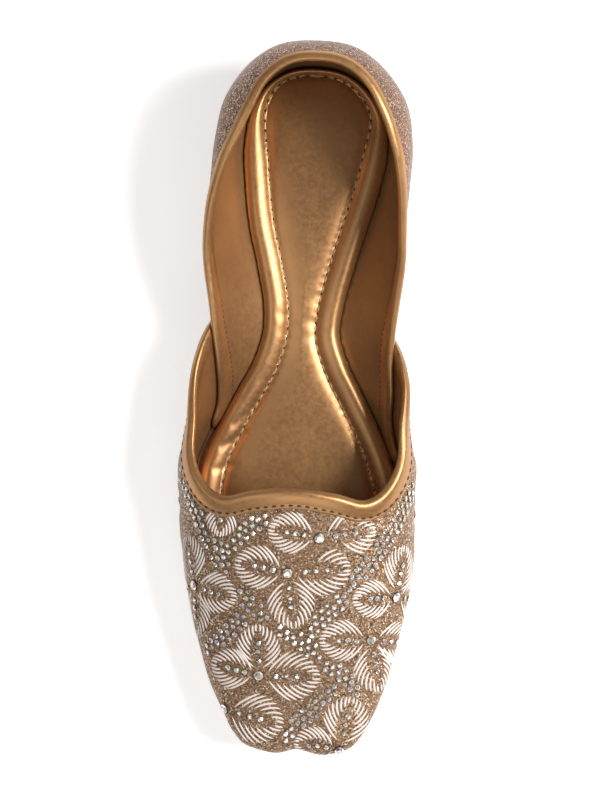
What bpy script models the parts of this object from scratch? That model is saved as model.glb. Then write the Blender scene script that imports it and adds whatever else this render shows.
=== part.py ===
"""A right-foot mojari: a slip-on with a glitter quarter, an embroidered vamp,
leather-bound edges, a padded sock and a moulded unit sole with a low heel.

Everything is worked out in the shoe's own terms: `side` runs across (the inner,
big-toe side is positive), `along` runs forward from the back of the sole, and `up`
is the height over the floor. The finished part has its toe towards -Y, its inner
side towards +X and its origin on the floor under the middle of its box.
"""
from collections import namedtuple

import bmesh
import bpy
import numpy as np

# Driving dimensions, in metres
SOLE_LENGTH = 0.2400
SOLE_HEEL_WIDTH = 0.0524
SOLE_WAIST_WIDTH = 0.0263
SOLE_BALL_WIDTH = 0.0770
SOLE_TOE_WIDTH = 0.0348
LAST_HEEL_WIDTH = 0.0648
LAST_WAIST_WIDTH = 0.0654
LAST_BALL_WIDTH = 0.0790
LAST_TOE_WIDTH = 0.0422
HEEL_OVERHANG = 0.0042
TOE_OVERHANG = 0.0004
HEEL_HEIGHT = 0.0140
HEEL_DEPTH = 0.0560
BREAST_SLOPE = 0.0015
FORE_THICKNESS = 0.0050
WAIST_THICKNESS = 0.0042
TOE_SPRING = 0.0080
BACK_HEIGHT = 0.0600
INSTEP_HEIGHT = 0.0445
TOE_BOX_HEIGHT = 0.0245
WIDE_HEIGHT = 0.0200
WALL = 0.0018
SEAT_MARGIN = 0.0006
BINDING_HEIGHT = 0.0027
BINDING_PROUD = 0.0006
RIM_WIDTH = 0.0050
GROOVE_WIDTH = 0.0012
GROOVE_DEPTH = 0.0011
EDGE_ROUND = 0.0008
SOCK_THICKNESS = 0.0040
SOCK_ROLL_RISE = 0.0014
SOCK_ROLL_WIDTH = 0.0085
SOCK_EDGE_HEIGHT = 0.0026
CLEARANCE = 0.0003

# How the profile of the upper is shared out: the first part rises from the sole to
# the widest line, the rest arches over to the ridge.
WIDE_SHARE = 0.4
FLARE_POWER = 1.55
ARCH_POWER = 2.2

# One row for each section, from the back of the heel to the middle of the toe.
# along, crest_along: shares of SOLE_LENGTH; sole_in and sole_out: shares of the sole's
# width named by `ref`, last_in and last_out: of the last's width named by `ref`;
# reach: share of HEEL_OVERHANG (negative) or TOE_OVERHANG; wide_up: share of
# WIDE_HEIGHT over the sole; crest_in: share of LAST_BALL_WIDTH; crest_up: share of
# the height named by `ref`.
Section = namedtuple("Section", "along ref sole_in sole_out last_in last_out reach wide_up "
                                "crest_along crest_in crest_up")
SECTIONS = [
    Section(0.0000, "heel", 0.012, -0.012, 0.034, -0.034, -1.00, 1.00, 0.142, 0.120, 1.20),
    Section(0.0070, "heel", 0.212, 0.178, 0.235, 0.155, -1.00, 1.00, 0.144, 0.120, 1.18),
    Section(0.0310, "heel", 0.382, 0.330, 0.389, 0.308, -0.70, 1.00, 0.150, 0.120, 1.15),
    Section(0.0630, "heel", 0.499, 0.410, 0.495, 0.409, -0.25, 1.00, 0.160, 0.120, 1.10),
    Section(0.1170, "heel", 0.541, 0.459, 0.541, 0.459, 0.00, 1.05, 0.176, 0.110, 1.07),
    Section(0.1800, "heel", 0.497, 0.440, 0.535, 0.477, 0.00, 1.10, 0.198, 0.080, 1.07),
    Section(0.2375, "heel", 0.418, 0.400, 0.521, 0.494, 0.00, 1.20, 0.2375, 0.045, 1.07),
    Section(0.3000, "waist", 0.643, 0.646, 0.515, 0.495, 0.00, 1.30, 0.300, 0.020, 1.05),
    Section(0.3580, "waist", 0.498, 0.540, 0.508, 0.490, 0.00, 1.35, 0.358, 0.010, 1.00),
    Section(0.3920, "waist", 0.456, 0.544, 0.506, 0.492, 0.00, 1.35, 0.392, 0.010, 0.95),
    Section(0.4330, "waist", 0.578, 0.662, 0.506, 0.495, 0.00, 1.30, 0.433, 0.008, 0.90),
    Section(0.4820, "ball", 0.284, 0.312, 0.430, 0.423, 0.00, 1.15, 0.482, 0.006, 1.17),
    Section(0.5300, "ball", 0.373, 0.399, 0.438, 0.436, 0.00, 1.00, 0.530, 0.006, 1.12),
    Section(0.5800, "ball", 0.440, 0.468, 0.474, 0.473, 0.00, 0.78, 0.580, 0.006, 1.06),
    Section(0.6550, "ball", 0.500, 0.497, 0.501, 0.499, 0.00, 0.58, 0.655, 0.008, 0.97),
    Section(0.7360, "ball", 0.505, 0.475, 0.505, 0.477, 0.00, 0.50, 0.736, 0.012, 0.855),
    Section(0.8160, "ball", 0.470, 0.431, 0.466, 0.428, 0.00, 0.45, 0.808, 0.018, 0.735),
    Section(0.8625, "ball", 0.431, 0.383, 0.435, 0.389, 0.00, 0.425, 0.848, 0.022, 0.66),
    Section(0.9080, "toe", 0.874, 0.701, 0.746, 0.642, 0.00, 0.40, 0.881, 0.028, 1.10),
    Section(0.9546, "toe", 0.701, 0.529, 0.642, 0.505, 0.30, 0.35, 0.908, 0.033, 1.04),
    Section(0.9775, "toe", 0.589, 0.411, 0.569, 0.431, 0.50, 0.325, 0.922, 0.036, 1.02),
    Section(0.9945, "toe", 0.489, 0.302, 0.474, 0.320, 0.80, 0.30, 0.931, 0.038, 1.01),
    Section(1.0008, "toe", 0.397, 0.213, 0.351, 0.175, 1.00, 0.30, 0.936, 0.040, 1.00),
    Section(0.9935, "toe", 0.092, -0.092, 0.081, -0.081, 2.00, 0.30, 0.940, 0.042, 1.00),
]
SOLE_WIDTHS = {"heel": SOLE_HEEL_WIDTH, "waist": SOLE_WAIST_WIDTH,
               "ball": SOLE_BALL_WIDTH, "toe": SOLE_TOE_WIDTH}
LAST_WIDTHS = {"heel": LAST_HEEL_WIDTH, "waist": LAST_WAIST_WIDTH,
               "ball": LAST_BALL_WIDTH, "toe": LAST_TOE_WIDTH}
CREST_HEIGHTS = {"heel": BACK_HEIGHT, "waist": BACK_HEIGHT,
                 "ball": INSTEP_HEIGHT, "toe": TOE_BOX_HEIGHT}

# The quarter's topline, from the middle of the back to its front ends under the vamp:
# stations on the inner and outer side as shares of SOLE_LENGTH, height of BACK_HEIGHT.
Topline = namedtuple("Topline", "along_in along_out height")
QUARTER_TOPLINE = [
    Topline(0.000, 0.000, 1.000),
    Topline(0.0625, 0.0625, 0.975),
    Topline(0.117, 0.117, 0.915),
    Topline(0.180, 0.178, 0.815),
    Topline(0.2375, 0.235, 0.718),
    Topline(0.300, 0.292, 0.633),
    Topline(0.367, 0.350, 0.558),
    Topline(0.425, 0.400, 0.485),
    Topline(0.475, 0.442, 0.392),
    Topline(0.517, 0.479, 0.285),
    Topline(0.550, 0.508, 0.215),
    Topline(0.571, 0.525, 0.190),
]

# The vamp's back edge, from the wing's end at the sole up to the throat: `rise` is the
# share of the profile from sole to ridge, the stations are shares of SOLE_LENGTH.
BackEdge = namedtuple("BackEdge", "rise along_in along_out")
VAMP_EDGE = [
    BackEdge(0.00, 0.350, 0.317),
    BackEdge(0.18, 0.383, 0.362),
    BackEdge(0.34, 0.442, 0.430),
    BackEdge(0.46, 0.515, 0.510),
    BackEdge(0.58, 0.585, 0.585),
    BackEdge(0.68, 0.628, 0.628),
    BackEdge(0.76, 0.642, 0.642),
    BackEdge(0.88, 0.633, 0.633),
    BackEdge(1.00, 0.626, 0.626),
]
# Between these stations the vamp comes down from the quarter's outside to the last.
VAMP_LIFT_END = (0.585, 0.665)
# The sole's top comes down from the heel to the forefoot and its underside thickens
# between these shares of SOLE_LENGTH; from SPRING_START the toe springs up.
SOLE_FALL = (0.120, 0.585)
UNDERSIDE_EASE = (0.350, 0.585)
SPRING_START = 0.755
# Where the quarter's binding goes under the wings it fades to the wall's thickness.
BINDING_FADE = (0.30, 0.38)

# Gaps between pieces that touch in the real shoe
VAMP_GAP = 1.3 * CLEARANCE
SOCK_GAP = 1.5 * CLEARANCE
BINDING_GAP = 1.6 * CLEARANCE

# The sock's roll and, inside it, its pad: height as a share of the roll's or the pad's,
# and inset as a share of SOCK_ROLL_WIDTH.
SOCK_ROLL_PROFILE = [(0.85, 0.18), (1.00, 0.45), (0.88, 0.80)]
SOCK_PAD_PROFILE = [(0.80, 1.00), (1.00, 1.35)]

# A binding's section: share of its thickness, and of its height over the wall's edge
BINDING_PROFILE = [(0.0, 0.0), (1.0, 0.0), (1.0, 0.62), (0.80, 0.9), (0.5, 1.0), (0.2, 0.9), (0.0, 0.62)]

# Steps of the faceted surfaces
VAMP_STEPS = 36
VAMP_RISE_STEPS = 16
QUARTER_STEPS = 30
QUARTER_RISE_STEPS = 8
SOLE_STEPS = 52
SOCK_STEPS = 40

# The forefoot's tread grooves: each is a curve from its first to its last point,
# bowed sideways in the middle. side: shares of SOLE_BALL_WIDTH, along: of SOLE_LENGTH.
TreadGroove = namedtuple("TreadGroove", "side_a along_a side_b along_b bow")
TREAD_GROOVES = [
    TreadGroove(0.285, 0.917, -0.260, 0.904, 0.000),
    TreadGroove(-0.300, 0.866, 0.341, 0.563, -0.020),
    TreadGroove(0.317, 0.891, 0.044, 0.695, -0.085),
    TreadGroove(-0.305, 0.868, -0.355, 0.548, 0.183),
    TreadGroove(0.150, 0.474, -0.165, 0.462, 0.000),
]
TREAD_GROOVE_STEPS = 14


def smooth_step(value):
    """Rises from 0 to 1 as value goes from 0 to 1, level at both ends."""
    share = np.clip(value, 0.0, 1.0)
    return share * share * (3.0 - 2.0 * share)


def hermite(knots, values, at):
    """Smooth curve through rows of values at rising knots, read at `at`.

    Each row's slope is the mean of the slopes beside it, weighted by the other
    interval's length, and each stretch is the cubic that has those slopes.
    """
    knots = np.asarray(knots, dtype=float)
    values = np.asarray(values, dtype=float)
    if values.ndim == 1:
        values = values[:, None]
    step = np.diff(knots)[:, None]
    slope = np.diff(values, axis=0) / step
    middle = (slope[:-1] * step[1:] + slope[1:] * step[:-1]) / (step[:-1] + step[1:])
    tangent = np.vstack([slope[:1], middle, slope[-1:]])
    index = np.clip(np.searchsorted(knots, at, side="right") - 1, 0, len(knots) - 2)
    width = step[index]
    share = (np.asarray(at, dtype=float)[:, None] - knots[index][:, None]) / width
    square, cube = share ** 2, share ** 3
    return ((2 * cube - 3 * square + 1) * values[index]
            + (cube - 2 * square + share) * width * tangent[index]
            + (3 * square - 2 * cube) * values[index + 1]
            + (cube - square) * width * tangent[index + 1])


def section_columns(sign):
    """The section table in metres for one side: sign is 1 inner, -1 outer."""
    rows = []
    for row in SECTIONS:
        along = row.along * SOLE_LENGTH
        overhang = TOE_OVERHANG if row.reach > 0 else HEEL_OVERHANG
        sole = row.sole_in if sign > 0 else row.sole_out
        last = row.last_in if sign > 0 else row.last_out
        rows.append((sign * sole * SOLE_WIDTHS[row.ref],
                     along,
                     sign * last * LAST_WIDTHS[row.ref],
                     along + row.reach * overhang,
                     row.wide_up * WIDE_HEIGHT,
                     row.crest_in * LAST_BALL_WIDTH,
                     row.crest_along * SOLE_LENGTH,
                     row.crest_up * CREST_HEIGHTS[row.ref]))
    return np.array(rows)


def section_knots():
    """Spacing of the sections round the outline, the same on both sides."""
    inner, outer = section_columns(1), section_columns(-1)
    steps = [np.linalg.norm(np.diff(columns[:, :2], axis=0), axis=1) for columns in (inner, outer)]
    return np.concatenate([[0.0], np.cumsum(0.5 * (steps[0] + steps[1]))])


KNOTS = section_knots()
HALF_ROUND = KNOTS[-1]


def outline(distance, sign):
    """Columns of the section table at distances round the outline from the back.

    The curve goes on past the back and past the toe with the other side's rows, so
    that it is round there.
    """
    own, other = section_columns(sign), section_columns(-sign)
    knots = np.concatenate([[-KNOTS[2], -KNOTS[1]], KNOTS,
                            [2 * HALF_ROUND - KNOTS[-2], 2 * HALF_ROUND - KNOTS[-3]]])
    values = np.vstack([other[2], other[1], own, other[-2], other[-3]])
    return hermite(knots, values, np.asarray(distance, dtype=float))


def distance_at(along):
    """Distance round the outline at which a side reaches a station."""
    fine = np.linspace(0.0, KNOTS[-2], 600)
    stations = outline(fine, 1)[:, 1]
    return np.interp(along, np.maximum.accumulate(stations), fine)


def sole_top(along):
    """Height of the sole's top: heel height, easing to the forefoot, then toe spring."""
    share = along / SOLE_LENGTH
    fall = smooth_step((share - SOLE_FALL[0]) / (SOLE_FALL[1] - SOLE_FALL[0]))
    spring = np.clip((share - SPRING_START) / (1.0 - SPRING_START), 0.0, None) ** 2
    return HEEL_HEIGHT + (FORE_THICKNESS - HEEL_HEIGHT) * fall + TOE_SPRING * spring


def sole_bottom(along):
    """Height of the sole's underside: the floor at the heel, an arch, the floor again."""
    ease = smooth_step((along / SOLE_LENGTH - UNDERSIDE_EASE[0]) / (UNDERSIDE_EASE[1] - UNDERSIDE_EASE[0]))
    thickness = WAIST_THICKNESS + (FORE_THICKNESS - WAIST_THICKNESS) * ease
    return np.where(along < HEEL_DEPTH + 0.5 * BREAST_SLOPE, 0.0, sole_top(along) - thickness)


def sole_ring(distance, sign, inset, height):
    """Points of the sole set in from its outline towards the centre line."""
    table = outline(distance, sign)
    edge, centre = table[:, 0:2], table[:, 5:7]
    reach = centre - edge
    span = np.linalg.norm(reach, axis=1, keepdims=True)
    plan = edge + reach * np.minimum(inset / span, 1.0)
    return np.column_stack([plan, height(plan[:, 1])])


def last_points(distance, sign, rise):
    """Points of the last, which is the upper's inner face.

    distance runs round the outline; rise goes from 0 at the sole, over WIDE_SHARE at
    the widest line, to 1 at the ridge. Below the widest line the wall flares out by a
    power of the height that is left; above it, it follows a quarter of a superellipse.
    """
    table = outline(distance, sign)
    edge, wide, crest = table[:, 0:2], table[:, 2:4], table[:, 5:7]
    reach = crest - edge
    span = np.linalg.norm(reach, axis=1, keepdims=True)
    foot = edge + reach * (WALL + SEAT_MARGIN) / span
    foot_up = sole_top(edge[:, 1]) + CLEARANCE
    wide_up = foot_up + table[:, 4]
    low = np.clip(rise / WIDE_SHARE, 0.0, 1.0)[:, None]
    flare = 1.0 - (1.0 - low) ** FLARE_POWER
    turn = np.clip((rise - WIDE_SHARE) / (1.0 - WIDE_SHARE), 0.0, 1.0)[:, None] * np.pi / 2
    lean = 1.0 - np.cos(turn) ** (2.0 / ARCH_POWER)
    lift = np.sin(turn) ** (2.0 / ARCH_POWER)
    plan = foot + (wide - foot) * flare + (crest - wide) * lean
    up = foot_up + table[:, 4] * low[:, 0] + (table[:, 7] - wide_up) * lift[:, 0]
    return np.column_stack([plan, up])


def rise_at_height(distance, sign, up):
    """The share of the profile at which the last reaches a height."""
    table = outline(distance, sign)
    foot_up = sole_top(table[:, 1]) + CLEARANCE
    wide_up = foot_up + table[:, 4]
    low = (up - foot_up) / table[:, 4] * WIDE_SHARE
    lift = np.clip((up - wide_up) / (table[:, 7] - wide_up), 0.0, 1.0)
    turn = np.arcsin(lift ** (ARCH_POWER / 2.0))
    high = WIDE_SHARE + (1.0 - WIDE_SHARE) * turn / (np.pi / 2)
    return np.where(up < wide_up, low, high)


def new_object(name, bm, colour, roughness, metallic):
    """Closes a mesh into an object with its own material."""
    bmesh.ops.recalc_face_normals(bm, faces=bm.faces[:])
    mesh = bpy.data.meshes.new(name)
    bm.to_mesh(mesh)
    bm.free()
    mesh.shade_smooth()
    mesh.set_sharp_from_angle(angle=np.radians(40.0))
    material = bpy.data.materials.new(name + "_finish")
    material.use_nodes = True
    shader = material.node_tree.nodes["Principled BSDF"]
    shader.inputs["Base Color"].default_value = (*colour, 1.0)
    shader.inputs["Roughness"].default_value = roughness
    shader.inputs["Metallic"].default_value = metallic
    mesh.materials.append(material)
    obj = bpy.data.objects.new(name, mesh)
    bpy.context.collection.objects.link(obj)
    return obj


def ring_mesh(rings):
    """Joins closed rings of equal length into one skin, welded where rings collapse."""
    bm = bmesh.new()
    rows = [[bm.verts.new(point) for point in ring] for ring in rings]
    for lower, upper in zip(rows, rows[1:]):
        for index in range(len(lower)):
            after = (index + 1) % len(lower)
            bm.faces.new((lower[index], lower[after], upper[after], upper[index]))
    bmesh.ops.remove_doubles(bm, verts=bm.verts[:], dist=CLEARANCE / 10)
    return bm


def both_sides(distances, build):
    """A closed ring: the inner side from back to toe, then the outer side back again."""
    inner = build(distances, 1)
    outer = build(distances[1:-1], -1)
    return np.vstack([inner, outer[::-1]])


def round_distances(steps, breast=()):
    """Even distances from the back to the toe, with the breast's own lines put in place."""
    even = np.linspace(0.0, HALF_ROUND, steps + 1)
    if len(breast):
        first = np.abs(even - breast[0]).argmin()
        even[first:first + len(breast)] = breast
    return even


def make_outsole():
    """The moulded unit sole: side wall, rim, groove, tread panel and heel in one."""
    breast = distance_at(np.array([HEEL_DEPTH, HEEL_DEPTH + BREAST_SLOPE]))
    distances = round_distances(SOLE_STEPS, breast)
    far = SOLE_LENGTH
    levels = [
        (far, sole_top),
        (EDGE_ROUND, sole_top),
        (0.0, lambda along: sole_top(along) - EDGE_ROUND),
        (EDGE_ROUND, lambda along: sole_bottom(along) + EDGE_ROUND),
        (2 * EDGE_ROUND, sole_bottom),
        (RIM_WIDTH, sole_bottom),
        (RIM_WIDTH, lambda along: sole_bottom(along) + GROOVE_DEPTH),
        (RIM_WIDTH + GROOVE_WIDTH, lambda along: sole_bottom(along) + GROOVE_DEPTH),
        (RIM_WIDTH + GROOVE_WIDTH, sole_bottom),
        (far, sole_bottom),
    ]
    rings = [both_sides(distances, lambda d, sign, i=inset, h=height: sole_ring(d, sign, i, h))
             for inset, height in levels]
    return new_object("outsole", ring_mesh(rings), (0.205, 0.115, 0.065), 0.55, 0.0)


def tread_cutter(groove):
    """A bar that follows the underside along one groove of the tread."""
    share = np.linspace(0.0, 1.0, TREAD_GROOVE_STEPS + 1)
    side = (groove.side_a + (groove.side_b - groove.side_a) * share
            + groove.bow * 4.0 * share * (1.0 - share)) * SOLE_BALL_WIDTH
    along = (groove.along_a + (groove.along_b - groove.along_a) * share) * SOLE_LENGTH
    path = np.column_stack([side, along])
    heading = np.gradient(path, axis=0)
    heading /= np.linalg.norm(heading, axis=1, keepdims=True)
    across = np.column_stack([heading[:, 1], -heading[:, 0]]) * 0.5 * GROOVE_WIDTH
    floor = sole_bottom(along)
    corners = [np.column_stack([path + across * turn, floor + level])
               for turn, level in ((-1, -GROOVE_DEPTH), (1, -GROOVE_DEPTH),
                                   (1, GROOVE_DEPTH), (-1, GROOVE_DEPTH))]
    bm = bmesh.new()
    rows = [[bm.verts.new(point) for point in corner] for corner in corners]
    for index in range(TREAD_GROOVE_STEPS):
        for turn in range(4):
            low, high = rows[turn], rows[(turn + 1) % 4]
            bm.faces.new((low[index], low[index + 1], high[index + 1], high[index]))
    for end in (0, TREAD_GROOVE_STEPS):
        bm.faces.new([row[end] for row in rows])
    cutter = new_object("tread_cutter", bm, (0.5, 0.5, 0.5), 0.5, 0.0)
    cutter.hide_render = True
    cutter.display_type = "WIRE"
    return cutter


def cut_tread(outsole):
    """Cuts the forefoot's grooves into the outsole."""
    for groove in TREAD_GROOVES:
        cut = outsole.modifiers.new("tread_groove", "BOOLEAN")
        cut.operation = "DIFFERENCE"
        cut.object = tread_cutter(groove)


def make_insole():
    """The padded sock: it fits inside the upper's walls, with a roll round its edge."""
    distances = round_distances(SOCK_STEPS)

    def edge_ring(height, inset):
        """Points at a height over the sole, set in from the upper's inner face."""
        def build(distance, sign):
            table = outline(distance, sign)
            base = sole_top(table[:, 1])
            rise = rise_at_height(distance, sign, base + CLEARANCE + height)
            wall = last_points(distance, sign, rise)[:, :2]
            reach = table[:, 5:7] - wall
            span = np.linalg.norm(reach, axis=1, keepdims=True)
            plan = wall + reach * np.minimum((inset + SOCK_GAP) / span, 1.0)
            return np.column_stack([plan, base + CLEARANCE + height])
        return both_sides(distances, build)

    roll = SOCK_THICKNESS + SOCK_ROLL_RISE
    far = SOLE_LENGTH
    rings = [edge_ring(0.0, far), edge_ring(0.0, 0.0), edge_ring(SOCK_EDGE_HEIGHT, 0.0)]
    rings += [edge_ring(high * roll, inset * SOCK_ROLL_WIDTH) for high, inset in SOCK_ROLL_PROFILE]
    rings += [edge_ring(high * SOCK_THICKNESS, inset * SOCK_ROLL_WIDTH) for high, inset in SOCK_PAD_PROFILE]
    rings.append(edge_ring(SOCK_THICKNESS, far))
    return new_object("insole", ring_mesh(rings), (0.44, 0.25, 0.115), 0.35, 0.3)


def grid_normals(grid, ridge):
    """Unit normals of a grid of points, away from the inside of the shoe.

    They are the cross product of the two grid directions. With a ridge, the last
    level is shared by mirrored columns, so its direction across goes over the ridge.
    """
    along_grid = np.gradient(grid, axis=0)
    up_grid = np.gradient(grid, axis=1)
    if ridge:
        up_grid[:, -1] = grid[::-1, -2] - grid[:, -2]
    normal = np.cross(along_grid, up_grid)
    if ridge:
        middle = len(grid) // 2
        normal[middle, -1] = normal[middle - 1, -1] + normal[middle + 1, -1]
    normal /= np.linalg.norm(normal, axis=2, keepdims=True)
    return normal if normal[2, 2, 0] > 0 else -normal


def offset_grid(grid, normal, distance):
    """A grid moved out along its normals, its first level trimmed level over the sole."""
    moved = grid + normal * distance[..., None]
    floor = sole_top(moved[:, 0, 1]) + CLEARANCE
    step = moved[:, 1] - moved[:, 0]
    share = np.clip((floor - moved[:, 0, 2]) / step[:, 2], 0.0, 0.9)
    moved[:, 0] += step * share[:, None]
    moved[:, 0, 2] = np.maximum(moved[:, 0, 2], floor)
    return moved


def wall_mesh(inner, outer):
    """A wall between two grids, closed along its foot, its ends and its upper edge.

    Where the upper edge is a ridge, mirrored columns share its points and no rim is
    made there.
    """
    ridge = np.allclose(inner[:, -1], inner[::-1, -1])
    bm = bmesh.new()
    skins = [[[bm.verts.new(point) for point in column] for column in grid] for grid in (inner, outer)]
    columns, levels = inner.shape[:2]
    for skin in skins:
        for first, second in zip(skin, skin[1:]):
            for level in range(levels - 1):
                bm.faces.new((first[level], first[level + 1], second[level + 1], second[level]))
    for level in (0,) if ridge else (0, levels - 1):
        for index in range(columns - 1):
            bm.faces.new((skins[0][index][level], skins[0][index + 1][level],
                          skins[1][index + 1][level], skins[1][index][level]))
    for index in (0, columns - 1):
        for level in range(levels - 1):
            bm.faces.new((skins[0][index][level], skins[0][index][level + 1],
                          skins[1][index][level + 1], skins[1][index][level]))
    bmesh.ops.remove_doubles(bm, verts=bm.verts[:], dist=CLEARANCE / 10)
    return bm


def quarter_edge(distances, sign):
    """The profile share of the quarter's upper edge, under its binding."""
    stations = [(row.along_in if sign > 0 else row.along_out) for row in QUARTER_TOPLINE]
    knots = distance_at(np.array(stations) * SOLE_LENGTH)
    up = hermite(knots, [row.height for row in QUARTER_TOPLINE], distances)[:, 0] * BACK_HEIGHT
    return rise_at_height(distances, sign, up - BINDING_HEIGHT)


def quarter_grid():
    """Points of the quarter's inner face, from the inner front end round the back."""
    last = QUARTER_TOPLINE[-1]
    share = np.linspace(0.0, 1.0, QUARTER_RISE_STEPS + 1)
    columns = []
    for sign, along in ((1, last.along_in), (-1, last.along_out)):
        end = distance_at(np.array([along * SOLE_LENGTH]))[0]
        distances = np.linspace(0.0, end, QUARTER_STEPS + 1)
        top = quarter_edge(distances, sign)
        columns.append(np.stack([last_points(distances, sign, top * part) for part in share], axis=1))
    return np.concatenate([columns[0][::-1], columns[1][1:]])


def make_quarter():
    """The hollow quarter: one wall round the heel, open at the top and underneath."""
    grid = quarter_grid()
    normal = grid_normals(grid, ridge=False)
    bare = np.zeros(grid.shape[:2])
    bm = wall_mesh(offset_grid(grid, normal, bare), offset_grid(grid, normal, bare + WALL))
    return new_object("upper_quarter", bm, (0.30, 0.19, 0.12), 0.45, 0.4)


def vamp_grid():
    """Points of the vamp on the last: columns from the inner wing round the toe.

    Each level of the profile has its own back end, so the first and last columns are
    the vamp's back edge, and the top level runs along the ridge and back.
    """
    rise = np.linspace(0.0, 1.0, VAMP_RISE_STEPS + 1)
    share = np.linspace(0.0, 1.0, VAMP_STEPS + 1)
    sides = []
    for sign in (1, -1):
        stations = [(row.along_in if sign > 0 else row.along_out) for row in VAMP_EDGE]
        knots = [row.rise for row in VAMP_EDGE] + [2.0 - VAMP_EDGE[-2].rise]
        back = hermite(knots, stations + stations[-2:-1], rise)[:, 0]
        start = distance_at(back * SOLE_LENGTH)
        levels = []
        for level, first in zip(rise, start):
            distances = (start[-1] + (HALF_ROUND - start[-1]) * share
                         + (first - start[-1]) * (1.0 - share) ** 2)
            levels.append(last_points(distances, sign, np.full_like(distances, level)))
        sides.append(np.stack(levels, axis=1))
    return np.concatenate([sides[0], sides[1][-2::-1]])


def vamp_lift(along):
    """How far the vamp stands off the last: over the quarter it clears its wall."""
    first, last = VAMP_LIFT_END
    down = smooth_step((along / SOLE_LENGTH - first) / (last - first))
    return (WALL + VAMP_GAP) * (1.0 - down)


def make_vamp():
    """The hollow vamp: toe box, throat and the two wings over the quarter."""
    grid = vamp_grid()
    normal = grid_normals(grid, ridge=True)
    lift = vamp_lift(grid[..., 1])
    bm = wall_mesh(offset_grid(grid, normal, lift), offset_grid(grid, normal, lift + WALL))
    return new_object("upper_vamp", bm, (0.42, 0.30, 0.21), 0.6, 0.1)


def binding_bar(edge, neighbour, normal, proud_in, proud_out):
    """A rounded bar on a wall's edge, as thick as the wall and what it stands proud.

    edge is the wall's edge, neighbour the line of points one step inside it. The bar's
    section is carried along the edge, standing off it in the wall's own direction.
    """
    tangent = np.gradient(edge, axis=0)
    tangent /= np.linalg.norm(tangent, axis=1, keepdims=True)
    off = edge - neighbour
    off -= tangent * np.sum(off * tangent, axis=1, keepdims=True)
    off -= normal * np.sum(off * normal, axis=1, keepdims=True)
    off /= np.linalg.norm(off, axis=1, keepdims=True)
    bm = bmesh.new()
    rows = []
    for thick, high in BINDING_PROFILE:
        depth = -proud_in + thick * (WALL + proud_in + proud_out)
        rise = BINDING_GAP + high * (BINDING_HEIGHT - BINDING_GAP)
        points = edge + normal * depth[:, None] + off * rise
        points[:, 2] = np.maximum(points[:, 2], sole_top(points[:, 1]) + CLEARANCE)
        rows.append([bm.verts.new(point) for point in points])
    for index in range(len(edge) - 1):
        for turn, row in enumerate(rows):
            after = rows[(turn + 1) % len(rows)]
            bm.faces.new((row[index], row[index + 1], after[index + 1], after[index]))
    for end in (0, len(edge) - 1):
        bm.faces.new([row[end] for row in rows])
    return bm


def make_quarter_binding():
    """The leather binding that rounds off the quarter's topline."""
    grid = quarter_grid()
    normal = grid_normals(grid, ridge=False)
    first, last = BINDING_FADE
    clear = 1.0 - smooth_step((grid[:, -1, 1] / SOLE_LENGTH - first) / (last - first))
    proud = BINDING_PROUD * clear
    bm = binding_bar(grid[:, -1], grid[:, -2], normal[:, -1], proud, proud)
    return new_object("quarter_binding", bm, (0.45, 0.25, 0.11), 0.32, 0.35)


def make_vamp_binding():
    """The leather binding along the wings and the throat."""
    grid = vamp_grid()
    normal = grid_normals(grid, ridge=True)
    moved = offset_grid(grid, normal, vamp_lift(grid[..., 1]))

    def ends(values, column):
        """One line from the inner wing's foot over the throat to the outer wing's."""
        return np.vstack([values[column], values[-1 - column][-2::-1]])

    edge, side = ends(moved, 0), ends(normal, 0)
    none = np.zeros(len(edge))
    bm = binding_bar(edge, ends(moved, 1), side, none, none + BINDING_PROUD)
    return new_object("vamp_binding", bm, (0.45, 0.25, 0.11), 0.32, 0.35)


def place(objects):
    """Turns the toe to -Y and puts the origin on the floor under the box's middle."""
    points = np.vstack([[tuple(vert.co) for vert in obj.data.vertices] for obj in objects])
    low, high = points.min(axis=0), points.max(axis=0)
    middle = 0.5 * (low + high)
    for obj in bpy.context.collection.objects:
        coords = np.array([tuple(vert.co) for vert in obj.data.vertices])
        coords[:, 0] -= middle[0]
        coords[:, 1] = middle[1] - coords[:, 1]
        obj.data.vertices.foreach_set("co", coords.ravel())
        obj.data.flip_normals()
        obj.data.update()


def main():
    """Clears the file and makes the shoe."""
    for obj in list(bpy.data.objects):
        bpy.data.objects.remove(obj, do_unlink=True)
    outsole = make_outsole()
    cut_tread(outsole)
    place([outsole, make_insole(), make_quarter(), make_vamp(),
           make_quarter_binding(), make_vamp_binding()])


main()
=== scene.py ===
"""Right-foot mojari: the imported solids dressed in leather, glitter cloth, thread and stones.

Shapes are worked out in the shoe's own terms, as in the part: `side` runs across (the
inner, big-toe side is positive), `along` runs forward from the back of the sole and `up`
is the height over the floor, all in metres. `placed` turns them into the frame.
"""
from collections import namedtuple
from math import pi, radians

import bmesh
import bpy
import numpy as np
from bpy.props import FloatProperty, FloatVectorProperty, PointerProperty
from mathutils import Matrix, Vector


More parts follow.
